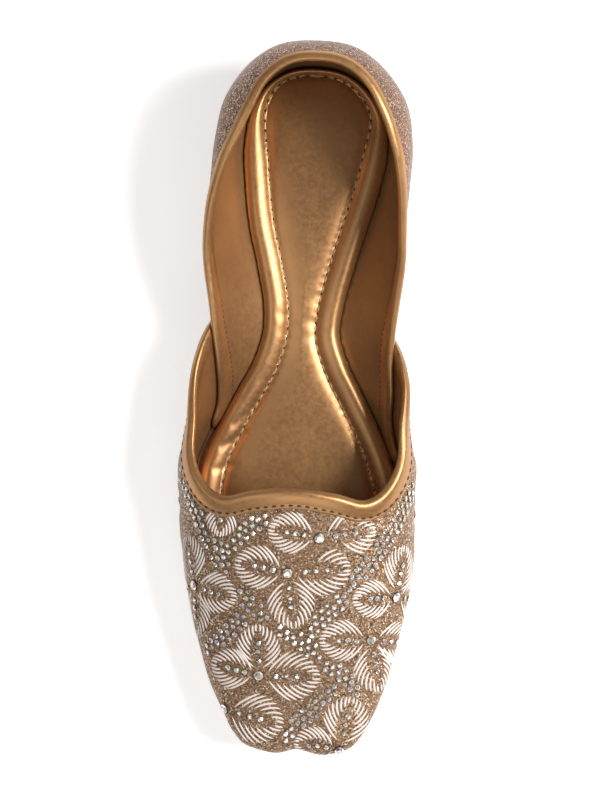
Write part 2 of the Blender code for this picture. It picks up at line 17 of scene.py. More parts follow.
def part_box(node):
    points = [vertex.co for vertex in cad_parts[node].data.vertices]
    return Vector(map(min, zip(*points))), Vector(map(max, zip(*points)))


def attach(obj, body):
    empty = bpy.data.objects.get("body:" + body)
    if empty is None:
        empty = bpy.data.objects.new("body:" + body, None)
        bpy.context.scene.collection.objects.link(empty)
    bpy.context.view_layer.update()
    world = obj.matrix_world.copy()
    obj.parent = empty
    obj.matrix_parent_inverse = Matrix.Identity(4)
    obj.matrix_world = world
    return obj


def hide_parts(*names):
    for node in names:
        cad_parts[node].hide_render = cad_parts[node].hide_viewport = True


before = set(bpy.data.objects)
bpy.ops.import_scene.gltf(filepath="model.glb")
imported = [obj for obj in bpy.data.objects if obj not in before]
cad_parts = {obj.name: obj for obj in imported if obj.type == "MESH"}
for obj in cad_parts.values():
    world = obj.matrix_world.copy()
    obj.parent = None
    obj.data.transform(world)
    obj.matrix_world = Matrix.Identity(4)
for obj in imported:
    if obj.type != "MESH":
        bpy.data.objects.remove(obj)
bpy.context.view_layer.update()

bl_info = {
    "name": "Mojari Shoe",
    "version": (1, 0, 0),
    "blender": (4, 5, 0),
    "location": "3D View > Sidebar > Mojari",
    "description": "Dresses the packed shoe in leather, glitter cloth, embroidery and stones",
    "category": "Object",
}

MM = 0.001

# The part's named sizes
SOLE_LENGTH = 0.2400
SOLE_WIDTHS = {"heel": 0.0524, "waist": 0.0263, "ball": 0.0770, "toe": 0.0348}
LAST_WIDTHS = {"heel": 0.0648, "waist": 0.0654, "ball": 0.0790, "toe": 0.0422}
CREST_HEIGHTS = {"heel": 0.0600, "waist": 0.0600, "ball": 0.0445, "toe": 0.0245}
HEEL_OVERHANG = 0.0042
TOE_OVERHANG = 0.0004
HEEL_HEIGHT = 0.0140
HEEL_DEPTH = 0.0560
BREAST_SLOPE = 0.0015
FORE_THICKNESS = 0.0050
WAIST_THICKNESS = 0.0042
TOE_SPRING = 0.0080
WIDE_HEIGHT = 0.0200
WALL = 0.0018
SEAT_MARGIN = 0.0006
BINDING_HEIGHT = 0.0027
RIM_WIDTH = 0.0050
GROOVE_WIDTH = 0.0012
GROOVE_DEPTH = 0.0011
HEEL_RIM_WIDTH = 0.0035
EDGE_ROUND = 0.0008
SOCK_THICKNESS = 0.0040
SOCK_ROLL_RISE = 0.0014
SOCK_ROLL_WIDTH = 0.0085
SOCK_EDGE_HEIGHT = 0.0026
CLEARANCE = 0.0003
VAMP_GAP = 1.3 * CLEARANCE
SOCK_GAP = 1.5 * CLEARANCE
WIDE_SHARE = 0.4
FLARE_POWER = 1.55
ARCH_POWER = 2.2

# Where the sole's top and underside change: a start and a run, as shares of its length
SOLE_FALL = (0.12, 0.465)
UNDERSIDE_EASE = (0.35, 0.235)
SPRING_START = 0.755

# The part's section table: shares of the named sizes, from the heel's back to the toe.
Section = namedtuple("Section", "along ref sole_in sole_out last_in last_out reach wide_up "
                                "crest_along crest_in crest_up")
SECTIONS = [
    Section(0.0000, "heel", 0.012, -0.012, 0.034, -0.034, -1.00, 1.00, 0.142, 0.120, 1.20),
    Section(0.0070, "heel", 0.212, 0.178, 0.235, 0.155, -1.00, 1.00, 0.144, 0.120, 1.18),
    Section(0.0310, "heel", 0.382, 0.330, 0.389, 0.308, -0.70, 1.00, 0.150, 0.120, 1.15),
    Section(0.0630, "heel", 0.499, 0.410, 0.495, 0.409, -0.25, 1.00, 0.160, 0.120, 1.10),
    Section(0.1170, "heel", 0.541, 0.459, 0.541, 0.459, 0.00, 1.05, 0.176, 0.110, 1.07),
    Section(0.1800, "heel", 0.497, 0.440, 0.535, 0.477, 0.00, 1.10, 0.198, 0.080, 1.07),
    Section(0.2375, "heel", 0.418, 0.400, 0.521, 0.494, 0.00, 1.20, 0.2375, 0.045, 1.07),
    Section(0.3000, "waist", 0.643, 0.646, 0.515, 0.495, 0.00, 1.30, 0.300, 0.020, 1.05),
    Section(0.3580, "waist", 0.498, 0.540, 0.508, 0.490, 0.00, 1.35, 0.358, 0.010, 1.00),
    Section(0.3920, "waist", 0.456, 0.544, 0.506, 0.492, 0.00, 1.35, 0.392, 0.010, 0.95),
    Section(0.4330, "waist", 0.578, 0.662, 0.506, 0.495, 0.00, 1.30, 0.433, 0.008, 0.90),
    Section(0.4820, "ball", 0.284, 0.312, 0.430, 0.423, 0.00, 1.15, 0.482, 0.006, 1.17),
    Section(0.5300, "ball", 0.373, 0.399, 0.438, 0.436, 0.00, 1.00, 0.530, 0.006, 1.12),
    Section(0.5800, "ball", 0.440, 0.468, 0.474, 0.473, 0.00, 0.78, 0.580, 0.006, 1.06),
    Section(0.6550, "ball", 0.500, 0.497, 0.501, 0.499, 0.00, 0.58, 0.655, 0.008, 0.97),
    Section(0.7360, "ball", 0.505, 0.475, 0.505, 0.477, 0.00, 0.50, 0.736, 0.012, 0.855),
    Section(0.8160, "ball", 0.470, 0.431, 0.466, 0.428, 0.00, 0.45, 0.808, 0.018, 0.735),
    Section(0.8625, "ball", 0.431, 0.383, 0.435, 0.389, 0.00, 0.425, 0.848, 0.022, 0.66),
    Section(0.9080, "toe", 0.874, 0.701, 0.746, 0.642, 0.00, 0.40, 0.881, 0.028, 1.10),
    Section(0.9546, "toe", 0.701, 0.529, 0.642, 0.505, 0.30, 0.35, 0.908, 0.033, 1.04),
    Section(0.9775, "toe", 0.589, 0.411, 0.569, 0.431, 0.50, 0.325, 0.922, 0.036, 1.02),
    Section(0.9945, "toe", 0.489, 0.302, 0.474, 0.320, 0.80, 0.30, 0.931, 0.038, 1.01),
    Section(1.0008, "toe", 0.397, 0.213, 0.351, 0.175, 1.00, 0.30, 0.936, 0.040, 1.00),
    Section(0.9935, "toe", 0.092, -0.092, 0.081, -0.081, 2.00, 0.30, 0.940, 0.042, 1.00),
]

# The quarter's topline and the vamp's back edge, as in the part
Topline = namedtuple("Topline", "along_in along_out height")
QUARTER_TOPLINE = [
    Topline(0.000, 0.000, 1.000),
    Topline(0.0625, 0.0625, 0.975),
    Topline(0.117, 0.117, 0.915),
    Topline(0.180, 0.178, 0.815),
    Topline(0.2375, 0.235, 0.718),
    Topline(0.300, 0.292, 0.633),
    Topline(0.367, 0.350, 0.558),
    Topline(0.425, 0.400, 0.485),
    Topline(0.475, 0.442, 0.392),
    Topline(0.517, 0.479, 0.285),
    Topline(0.550, 0.508, 0.215),
    Topline(0.571, 0.525, 0.190),
]
BackEdge = namedtuple("BackEdge", "rise along_in along_out")
VAMP_EDGE = [
    BackEdge(0.00, 0.350, 0.317),
    BackEdge(0.18, 0.383, 0.362),
    BackEdge(0.34, 0.442, 0.430),
    BackEdge(0.46, 0.515, 0.510),
    BackEdge(0.58, 0.585, 0.585),
    BackEdge(0.68, 0.628, 0.628),
    BackEdge(0.76, 0.642, 0.642),
    BackEdge(0.88, 0.633, 0.633),
    BackEdge(1.00, 0.626, 0.626),
]
# Between these shares of the sole's length the vamp comes down onto the last
VAMP_LIFT_END = (0.585, 0.665)

# The part's tread grooves: sides as shares of the ball's width, stations as shares of the
# sole's length, and how far each bows sideways. In order: the toe cap's, the diagonal,
# the inner lens's, the outer lens's and the one towards the heel.
TreadGroove = namedtuple("TreadGroove", "side_a along_a side_b along_b bow")
TREAD_GROOVES = [
    TreadGroove(0.285, 0.917, -0.260, 0.904, 0.000),
    TreadGroove(-0.300, 0.866, 0.341, 0.563, -0.020),
    TreadGroove(0.317, 0.891, 0.044, 0.695, -0.085),
    TreadGroove(-0.305, 0.868, -0.355, 0.548, 0.183),
    TreadGroove(0.150, 0.474, -0.165, 0.462, 0.000),
]

# The tread's fine patterns: pitches, depths and soft edges in metres
WAVE_PITCH = 3.9 * MM
WAVE_DEPTH = 0.80 * MM
WAVE_SWERVE = 1.3 * MM
WAVE_LENGTH = 11.5 * MM
RIB_PITCH = 1.5 * MM
RIB_DEPTH = 0.20 * MM
HATCH_PITCH = 2.4 * MM
HATCH_DEPTH = 0.26 * MM
HEEL_RIB_PITCH = 2.9 * MM
HEEL_RIB_DEPTH = 0.90 * MM
HEEL_FIELD_START = 6.5 * MM
TREAD_SOFT = 0.4 * MM
LENS_SOFT = 0.8 * MM

# Where the tread's fields begin and end, as shares of the sole's length
PANEL_SPAN = (0.468, 0.908)
INNER_LENS_SPAN = (0.570, 0.885)
OUTER_LENS_SPAN = (0.552, 0.864)
INNER_LENS_FOOT = 0.695
TOE_CAP_START = 0.915
PLAIN_WAIST_SPAN = (0.240, 0.462)
SPAN_SOFT = 0.004
LENS_SPAN_SOFT = 0.006

# The sock's roll and pad: the roll's share of its width at the heel's back and where it
# is whole again, the valley's rise, the pad's slope and the stitches' puckers
SOCK_HEEL_SHARE = 0.28
SOCK_HEEL_SPAN = (2 * MM, 36 * MM)
SOCK_VALLEY_RISE = 0.4 * MM
SOCK_PAD_RISE = 0.3 * MM
SOCK_PAD_SLOPE = 3.4 * MM
PUCKER_PITCH = 2.9 * MM
PUCKER_DEPTH = 0.42 * MM
PUCKER_REACH = 1.2 * MM

# The folded bindings: how far each covers the wall outside and inside, the quarter's
# thin leather, and where along the sole the quarter's topline comes free of the vamp
QUARTER_BAND = 1.1 * MM
QUARTER_INNER_BAND = 3.4 * MM
QUARTER_LEATHER = 0.22 * MM
VAMP_INNER_BAND = 3.2 * MM
FREE_TOPLINE_SPAN = (0.30, 0.38)

# How far inside the vamp binding's border and the quarter's edge the seams run
BINDING_SEAM_INSET = 1.1 * MM
LINING_SEAM_DEPTH = 3.1 * MM

# How far the sole's side wall is hollowed at half its height
SIDE_WALL_HOLLOW = 0.30 * MM

# Steps of the fine surfaces
SOLE_ROWS = 400
SOLE_COLUMNS = 120
SOCK_ROWS = 280
SOCK_COLUMNS = 84
QUARTER_COLUMNS = 110
QUARTER_LEVELS = 26
VAMP_COLUMNS = 130
VAMP_LEVELS = 52


def linear(code):
    """An sRGB hex colour as linear red, green and blue."""
    parts = [int(code[start:start + 2], 16) / 255 for start in (1, 3, 5)]
    return tuple(part / 12.92 if part <= 0.04045 else ((part + 0.055) / 1.055) ** 2.4
                 for part in parts)


def smooth_step(value):
    """Rises from 0 to 1 as value goes from 0 to 1, level at both ends."""
    share = np.clip(value, 0.0, 1.0)
    return share * share * (3.0 - 2.0 * share)


def hermite(knots, values, at):
    """Smooth curve through rows of values at rising knots, read at `at`.

    Each row's slope is the mean of the slopes beside it, weighted by the other
    interval's length, and each stretch is the cubic that has those slopes.
    """
    knots = np.asarray(knots, dtype=float)
    values = np.asarray(values, dtype=float)
    if values.ndim == 1:
        values = values[:, None]
    step = np.diff(knots)[:, None]
    slope = np.diff(values, axis=0) / step
    middle = (slope[:-1] * step[1:] + slope[1:] * step[:-1]) / (step[:-1] + step[1:])
    tangent = np.vstack([slope[:1], middle, slope[-1:]])
    index = np.clip(np.searchsorted(knots, at, side="right") - 1, 0, len(knots) - 2)
    width = step[index]
    share = (np.asarray(at, dtype=float)[:, None] - knots[index][:, None]) / width
    square, cube = share ** 2, share ** 3
    return ((2 * cube - 3 * square + 1) * values[index]
            + (cube - 2 * square + share) * width * tangent[index]
            + (3 * square - 2 * cube) * values[index + 1]
            + (cube - square) * width * tangent[index + 1])


def section_columns(sign):
    """The section table in metres for one side: sign is 1 inner, -1 outer."""
    rows = []
    for row in SECTIONS:
        along = row.along * SOLE_LENGTH
        overhang = TOE_OVERHANG if row.reach > 0 else HEEL_OVERHANG
        sole = row.sole_in if sign > 0 else row.sole_out
        last = row.last_in if sign > 0 else row.last_out
        rows.append((sign * sole * SOLE_WIDTHS[row.ref],
                     along,
                     sign * last * LAST_WIDTHS[row.ref],
                     along + row.reach * overhang,
                     row.wide_up * WIDE_HEIGHT,
                     row.crest_in * LAST_WIDTHS["ball"],
                     row.crest_along * SOLE_LENGTH,
                     row.crest_up * CREST_HEIGHTS[row.ref]))
    return np.array(rows)


def section_knots():
    """Spacing of the sections round the outline, the same on both sides."""
    inner, outer = section_columns(1), section_columns(-1)
    steps = [np.linalg.norm(np.diff(columns[:, :2], axis=0), axis=1) for columns in (inner, outer)]
    return np.concatenate([[0.0], np.cumsum(0.5 * (steps[0] + steps[1]))])


KNOTS = section_knots()
HALF_ROUND = KNOTS[-1]


def outline(distance, sign):
    """Columns of the section table at distances round the outline from the back.

    The curve goes on past the back and past the toe with the other side's rows, so
    that it is round there.
    """
    own, other = section_columns(sign), section_columns(-sign)
    knots = np.concatenate([[-KNOTS[2], -KNOTS[1]], KNOTS,
                            [2 * HALF_ROUND - KNOTS[-2], 2 * HALF_ROUND - KNOTS[-3]]])
    values = np.vstack([other[2], other[1], own, other[-2], other[-3]])
    return hermite(knots, values, np.asarray(distance, dtype=float))


BACK_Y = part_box("outsole")[1].y
SIDE_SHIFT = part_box("outsole")[1].x - outline(np.linspace(0.0, HALF_ROUND, 800), 1)[:, 0].max()


def placed(points):
    """Shoe terms to the frame: side is shifted onto X, along is counted back from BACK_Y."""
    moved = np.array(points, dtype=float)
    moved[..., 0] += SIDE_SHIFT
    moved[..., 1] = BACK_Y - moved[..., 1]
    return moved


def distance_at(along):
    """Distance round the outline at which a side reaches a station."""
    fine = np.linspace(0.0, KNOTS[-2], 900)
    stations = outline(fine, 1)[:, 1]
    return np.interp(along, np.maximum.accumulate(stations), fine)


def sole_top(along):
    """Height of the sole's top: heel height, easing to the forefoot, then toe spring."""
    fall = smooth_step((along / SOLE_LENGTH - SOLE_FALL[0]) / SOLE_FALL[1])
    spring = np.clip((along / SOLE_LENGTH - SPRING_START) / (1.0 - SPRING_START), 0.0, None) ** 2
    return HEEL_HEIGHT + (FORE_THICKNESS - HEEL_HEIGHT) * fall + TOE_SPRING * spring


def sole_bottom(along):
    """Height of the sole's underside: the floor at the heel, a short slope at the
    heel's breast, then the arch and the forefoot."""
    ease = smooth_step((along / SOLE_LENGTH - UNDERSIDE_EASE[0]) / UNDERSIDE_EASE[1])
    thickness = WAIST_THICKNESS + (FORE_THICKNESS - WAIST_THICKNESS) * ease
    breast = np.clip((along - HEEL_DEPTH) / BREAST_SLOPE, 0.0, 1.0)
    return breast * (sole_top(along) - thickness)


def last_points(distance, sign, rise):
    """Points of the last, which is the upper's inner face.

    rise goes from 0 at the sole, over WIDE_SHARE at the widest line, to 1 at the ridge.
    Below the widest line the wall flares out by a power of the height that is left;
    above it, it follows a quarter of a superellipse.
    """
    table = outline(distance, sign)
    edge, wide, crest = table[:, 0:2], table[:, 2:4], table[:, 5:7]
    reach = crest - edge
    span = np.linalg.norm(reach, axis=1, keepdims=True)
    foot = edge + reach * (WALL + SEAT_MARGIN) / span
    foot_up = sole_top(edge[:, 1]) + CLEARANCE
    wide_up = foot_up + table[:, 4]
    low = np.clip(rise / WIDE_SHARE, 0.0, 1.0)[:, None]
    flare = 1.0 - (1.0 - low) ** FLARE_POWER
    turn = np.clip((rise - WIDE_SHARE) / (1.0 - WIDE_SHARE), 0.0, 1.0)[:, None] * pi / 2
    lean = 1.0 - np.cos(turn) ** (2.0 / ARCH_POWER)
    lift = np.sin(turn) ** (2.0 / ARCH_POWER)
    plan = foot + (wide - foot) * flare + (crest - wide) * lean
    up = foot_up + table[:, 4] * low[:, 0] + (table[:, 7] - wide_up) * lift[:, 0]
    return np.column_stack([plan, up])


def rise_at_height(distance, sign, up):
    """The share of the profile at which the last reaches a height.

    It is last_points' formula for the height, solved for the rise.
    """
    table = outline(distance, sign)
    foot_up = sole_top(table[:, 1]) + CLEARANCE
    wide_up = foot_up + table[:, 4]
    low = (up - foot_up) / table[:, 4] * WIDE_SHARE
    lift = np.clip((up - wide_up) / (table[:, 7] - wide_up), 0.0, 1.0)
    turn = np.arcsin(lift ** (ARCH_POWER / 2.0))
    high = WIDE_SHARE + (1.0 - WIDE_SHARE) * turn / (pi / 2)
    return np.where(up < wide_up, low, high)


def vamp_lift(along):
    """How far the vamp stands off the last: over the quarter it clears its wall."""
    first, last = VAMP_LIFT_END
    down = smooth_step((along / SOLE_LENGTH - first) / (last - first))
    return (WALL + VAMP_GAP) * (1.0 - down)


def nearest(points, targets):
    """Index of the nearest target to each point and how far it is, in chunks.

    The squared distance is |p|^2 - 2 p.t + |t|^2, worked out as one matrix a chunk.
    """
    squares = (targets ** 2).sum(axis=1)
    index, away = [], []
    for part in np.array_split(points, max(1, len(points) // 1500)):
        gap = (part ** 2).sum(axis=1)[:, None] - 2.0 * part @ targets.T + squares
        found = gap.argmin(axis=1)
        index.append(found)
        away.append(np.sqrt(np.maximum(gap[np.arange(len(part)), found], 0.0)))
    return np.concatenate(index), np.concatenate(away)


def unit(vectors):
    """Vectors scaled to length 1 along the last axis."""
    return vectors / np.maximum(np.linalg.norm(vectors, axis=-1, keepdims=True), 1e-12)


def grid_normals(grid, ridge):
    """Unit normals of a grid, away from the inside of the shoe.

    They are the cross product of the two grid directions. With a ridge, the last
    level is shared by mirrored columns, so its direction across goes over the ridge.
    """
    along_grid = np.gradient(grid, axis=0)
    up_grid = np.gradient(grid, axis=1)
    if ridge:
        up_grid[:, -1] = grid[::-1, -2] - grid[:, -2]
    normal = np.cross(along_grid, up_grid)
    if ridge:
        middle = len(grid) // 2
        normal[middle, -1] = normal[middle - 1, -1] + normal[middle + 1, -1]
    normal = unit(normal)
    return normal if normal[2, 2, 0] > 0 else -normal


def read_grid(values, row, column):
    """Values of a grid between its points: the mean of four, by nearness."""
    rows, columns = values.shape[:2]
    row = np.clip(row, 0.0, rows - 1.001)
    column = np.clip(column, 0.0, columns - 1.001)
    low_row, low_column = row.astype(int), column.astype(int)
    along = (row - low_row)[:, None]
    across = (column - low_column)[:, None]
    return ((1 - along) * (1 - across) * values[low_row, low_column]
            + along * (1 - across) * values[low_row + 1, low_column]
            + (1 - along) * across * values[low_row, low_column + 1]
            + along * across * values[low_row + 1, low_column + 1])


class Cloth:
    """One face of the upper as a fine grid, with flat pattern coordinates.

    The flat coordinates lay the face out like the cut cloth: lengths along the wall
    are kept, so what is drawn in them keeps its size down the sides.
    """

    def __init__(self, grid, flat, ridge):
        self.grid = grid
        self.flat = flat
        self.normal = grid_normals(grid, ridge)

    def at(self, pattern):
        """Points and normals of the face at pattern coordinates, and how far each is missed.

        Starts at the nearest grid point and takes two Newton steps: the flat offset is
        solved for grid steps by the two by two matrix of the flat grid's directions.
        """
        pattern = np.asarray(pattern, dtype=float)
        shape = pattern.shape[:-1]
        wanted = pattern.reshape(-1, 2)
        columns = self.flat.shape[1]
        found, _ = nearest(wanted, self.flat.reshape(-1, 2))
        row, column = (found // columns).astype(float), (found % columns).astype(float)
        down, across = np.gradient(self.flat, axis=0), np.gradient(self.flat, axis=1)
        for _ in range(2):
            gap = wanted - read_grid(self.flat, row, column)
            first, second = read_grid(down, row, column), read_grid(across, row, column)
            area = first[:, 0] * second[:, 1] - first[:, 1] * second[:, 0]
            area = np.where(np.abs(area) < 1e-12, 1e-12, area)
            row = row + np.clip((gap[:, 0] * second[:, 1] - gap[:, 1] * second[:, 0]) / area, -1, 1)
            column = column + np.clip((first[:, 0] * gap[:, 1] - first[:, 1] * gap[:, 0]) / area, -1, 1)
        points = read_grid(self.grid, row, column).reshape(*shape, 3)
        normals = unit(read_grid(self.normal, row, column)).reshape(*shape, 3)
        miss = np.linalg.norm(wanted - read_grid(self.flat, row, column), axis=1).reshape(shape)
        return points, normals, miss


def flat_of_last(distance, sign, rise):
    """Flat pattern coordinates of points of the last.

    The ridge's place in plan, plus the plan's direction outwards times the length of
    the profile from the ridge down to the point.
    """
    stations = np.linspace(0.0, HALF_ROUND, 260)
    levels = np.linspace(0.0, 1.0, 90)
    table = np.stack([last_points(stations, sign, np.full_like(stations, level)) for level in levels])
    steps = np.linalg.norm(np.diff(table, axis=0), axis=2)
    length = np.vstack([np.cumsum(steps[::-1], axis=0)[::-1], np.zeros((1, len(stations)))])
    reach = read_grid(length[..., None], rise * (len(levels) - 1),
                      distance / HALF_ROUND * (len(stations) - 1))
    places = outline(distance, sign)
    return places[:, 5:7] + unit(places[:, 2:4] - places[:, 5:7]) * reach


def quarter_cloth():
    """The quarter's inner face, from the inner front end round the back.

    Each column goes up the last by even shares to the cloth's edge. That lies the
    binding's height under the topline, a smooth curve through the table's heights. The
    flat coordinates are the length round the middle level and the length up the column.
    """
    last = QUARTER_TOPLINE[-1]
    share = np.linspace(0.0, 1.0, QUARTER_LEVELS + 1)
    sides = []
    for sign, along in ((1, last.along_in), (-1, last.along_out)):
        end = distance_at(np.array([along * SOLE_LENGTH]))[0]
        distances = np.linspace(0.0, end, QUARTER_COLUMNS + 1)
        stations = [(row.along_in if sign > 0 else row.along_out) for row in QUARTER_TOPLINE]
        knots = distance_at(np.array(stations) * SOLE_LENGTH)
        up = hermite(knots, [row.height for row in QUARTER_TOPLINE], distances)[:, 0]
        top = rise_at_height(distances, sign, up * CREST_HEIGHTS["heel"] - BINDING_HEIGHT)
        sides.append(np.stack([last_points(distances, sign, top * part) for part in share], axis=1))
    grid = np.concatenate([sides[0][::-1], sides[1][1:]])
    middle = grid[:, QUARTER_LEVELS // 2]
    run = np.concatenate([[0.0], np.cumsum(np.linalg.norm(np.diff(middle, axis=0), axis=1))])
    climb = np.linalg.norm(np.diff(grid, axis=1), axis=2)
    climb = np.hstack([np.zeros((len(grid), 1)), np.cumsum(climb, axis=1)])
    flat = np.stack([np.broadcast_to(run[:, None], climb.shape), climb], axis=2)
    return Cloth(grid, flat, ridge=False)


def vamp_cloth():
    """The vamp on the last: columns from the inner wing round the toe to the outer.

    The levels are even shares of the rise. On each, the columns share out evenly the way
    from the ridge's back edge to the toe, and a shift that fades as the square of the way
    left brings the first one to the level's own back edge.
    """
    rise = np.linspace(0.0, 1.0, VAMP_LEVELS + 1)
    share = np.linspace(0.0, 1.0, VAMP_COLUMNS + 1)
    sides, flats = [], []
    for sign in (1, -1):
        stations = [(row.along_in if sign > 0 else row.along_out) for row in VAMP_EDGE]
        knots = [row.rise for row in VAMP_EDGE] + [2.0 - VAMP_EDGE[-2].rise]
        back = hermite(knots, stations + stations[-2:-1], rise)[:, 0]
        start = distance_at(back * SOLE_LENGTH)
        levels, plans = [], []
        for level, first in zip(rise, start):
            distances = (start[-1] + (HALF_ROUND - start[-1]) * share
                         + (first - start[-1]) * (1.0 - share) ** 2)
            levels.append(last_points(distances, sign, np.full_like(distances, level)))
            plans.append(flat_of_last(distances, sign, np.full_like(distances, level)))
        sides.append(np.stack(levels, axis=1))
        flats.append(np.stack(plans, axis=1))
    grid = np.concatenate([sides[0], sides[1][-2::-1]])
    flat = np.concatenate([flats[0], flats[1][-2::-1]])
    return Cloth(grid, flat, ridge=True)


Patch = namedtuple("Patch", "points uv slot closed values tint")


def patch(points, uv=None, slot=0, closed=False, values=None, tint=None):
    """A grid of points, or many like grids, with pattern coordinates, slot and shades."""
    points = points if points.ndim == 4 else points[None]
    size = points.shape[:3]
    uv = np.zeros((*size, 2)) if uv is None else uv
    values = np.zeros(size) if values is None else values
    tint = np.ones((*size, 3)) if tint is None else tint
    return Patch(points, uv, slot, closed, values, tint)


def grid_faces(part, start):
    """Corners of the grids' quads as one array; a closed grid joins its last row to its first."""
    grids, rows, columns = part.points.shape[:3]
    row = np.arange(rows if part.closed else rows - 1)[:, None]
    column = np.arange(columns - 1)[None, :]
    after = (row + 1) % rows
    corners = [row * columns + column, after * columns + column,
               after * columns + column + 1, row * columns + column + 1]
    single = np.stack(np.broadcast_arrays(*corners), axis=-1).reshape(-1, 4)
    every = np.arange(grids)[:, None, None] * rows * columns + single
    return start + every.reshape(-1, 4)


def make_piece(name, parts, materials, replaces, sharp=50.0, tinted=False):
    """Joins grids into one object: welded, facing out, smooth, riding on the shoe."""
    old = bpy.data.objects.get(name)
    if old is not None:
        raise RuntimeError(name + " is there already")
    starts = np.cumsum([0] + [part.values.size for part in parts])
    points = np.concatenate([part.points.reshape(-1, 3) for part in parts])
    faces = np.concatenate([grid_faces(part, start) for part, start in zip(parts, starts)])
    uv = np.concatenate([part.uv.reshape(-1, 2) for part in parts])
    slots = np.concatenate([np.full(len(grid_faces(part, 0)), part.slot) for part in parts])
    mesh = bpy.data.meshes.new(name)
    mesh.from_pydata(placed(points), [], faces)
    mesh.polygons.foreach_set("material_index", slots.astype(np.int32))
    layer = mesh.uv_layers.new(name="pattern")
    layer.data.foreach_set("uv", uv[faces.ravel()].ravel().astype(np.float32))
    shade = mesh.attributes.new("shade", "FLOAT", "POINT")
    values = np.concatenate([part.values.ravel() for part in parts])
    shade.data.foreach_set("value", values.astype(np.float32))
    if tinted:
        tint = np.concatenate([part.tint.reshape(-1, 3) for part in parts])
        colour = mesh.attributes.new("tint", "FLOAT_COLOR", "POINT")
        colour.data.foreach_set("color", np.column_stack([tint, np.ones(len(tint))]).ravel())
    bm = bmesh.new()
    bm.from_mesh(mesh)
    bmesh.ops.remove_doubles(bm, verts=bm.verts[:], dist=0.002 * MM)
    bmesh.ops.recalc_face_normals(bm, faces=bm.faces[:])
    bm.to_mesh(mesh)
    bm.free()
    mesh.shade_smooth()
    mesh.set_sharp_from_angle(angle=radians(sharp))
    for material in materials:
        mesh.materials.append(material)
    obj = bpy.data.objects.new(name, mesh)
    bpy.context.scene.collection.objects.link(obj)
    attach(obj, "root")
    if replaces:
        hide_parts(*replaces)
    return obj


def strip(first, second):
    """A grid of two columns between two lines of points."""
    return np.stack([first, second], axis=1)


def wall_parts(inner, outer, flat, ridge):
    """The grids of a wall between two faces: slot 0 outside, slot 1 inside and edges."""
    parts = [patch(outer, flat / MM, 0), patch(inner, flat / MM, 1)]
    parts.append(patch(strip(inner[:, 0], outer[:, 0]), slot=1))
    if not ridge:
        parts.append(patch(strip(inner[:, -1], outer[:, -1]), slot=1))
    for end in (0, -1):
        parts.append(patch(strip(inner[end], outer[end]), slot=1))
    return parts


def stood_off(cloth, distance):
    """A cloth's grid moved out along its normals, no point of it under the sole's top."""
    moved = cloth.grid + cloth.normal * distance[..., None]
    moved[..., 2] = np.maximum(moved[..., 2], sole_top(moved[..., 1]) + CLEARANCE)
    return moved


def add_node(tree, kind, values=None, links=None, **settings):
    """Adds a node with its settings, its sockets' values and the links into them."""
    node = tree.nodes.new(kind)
    for key, value in settings.items():
        setattr(node, key, value)
    for socket, value in (values or {}).items():
        node.inputs[socket].default_value = value
    for socket, source in (links or {}).items():
        tree.links.new(source, node.inputs[socket])
    return node


def new_finish(name, roughness, metallic, **sockets):
    """A material with its shader's plain values set, and its texture coordinates."""
    material = bpy.data.materials.new(name)
    material.use_nodes = True
    tree = material.node_tree
    shader = tree.nodes["Principled BSDF"]
    shader.inputs["Roughness"].default_value = roughness
    shader.inputs["Metallic"].default_value = metallic
    for socket, value in sockets.items():
        shader.inputs[socket.replace("_", " ").title()].default_value = value
    coords = add_node(tree, "ShaderNodeTexCoord")
    return material, tree, shader, coords


def colour_blend(tree, share, first, second):
    """A colour between two, by a share from another node."""
    mix = add_node(tree, "ShaderNodeMix", {6: (*first, 1.0), 7: (*second, 1.0)}, {0: share},
                   data_type="RGBA")
    return mix.outputs[2]


LEATHER_GRAIN = 0.45 * MM


def leather_finish(name, dark, light, roughness, metallic):
    """Bronze-foiled sheep leather, milled smooth: satin and softly metallic.

    Its colour drifts between two browns over centimetres, and a fine grain of about
    half a millimetre breaks up the gloss.
    """
    material, tree, shader, coords = new_finish(name, roughness, metallic)
    where = coords.outputs["Object"]
    drift = add_node(tree, "ShaderNodeTexNoise", {"Scale": 1 / (26 * MM), "Detail": 3.0},
                     {"Vector": where})
    cloud = add_node(tree, "ShaderNodeTexNoise", {"Scale": 1 / (1.6 * MM), "Detail": 4.0},
                     {"Vector": where})
    both = add_node(tree, "ShaderNodeMath", {1: 0.35}, {0: cloud.outputs["Fac"]}, operation="MULTIPLY")
    share = add_node(tree, "ShaderNodeMath", {2: -0.10}, {0: drift.outputs["Fac"], 1: both.outputs[0]},
                     operation="ADD")
    tree.links.new(colour_blend(tree, share.outputs[0], dark, light), shader.inputs["Base Color"])
    pebble = add_node(tree, "ShaderNodeTexNoise", {"Scale": 1 / LEATHER_GRAIN, "Detail": 2.0},
                      {"Vector": where})
    bump = add_node(tree, "ShaderNodeBump", {"Strength": 0.30, "Distance": 0.06 * MM},
                    {"Height": pebble.outputs["Fac"]})
    rough = add_node(tree, "ShaderNodeMapRange",
                     {"From Min": 0.3, "From Max": 0.7, "To Min": roughness - 0.05,
                      "To Max": roughness + 0.08},
                     {"Value": cloud.outputs["Fac"]})
    tree.links.new(rough.outputs[0], shader.inputs["Roughness"])
    tree.links.new(bump.outputs[0], shader.inputs["Normal"])
    return material


# Shades of the glitter's flakes: the share of flakes below each, and its colour
QUARTER_FLAKES = [(0.0, "#4d3527"), (0.22, "#6e4830"), (0.52, "#8c6249"), (0.80, "#b58b6e"),
                  (0.95, "#ecd0b8")]
VAMP_FLAKES = [(0.0, "#543e2d"), (0.25, "#826248"), (0.60, "#a17d5b"), (0.85, "#c9aa88"),
               (0.96, "#f4e6d0")]


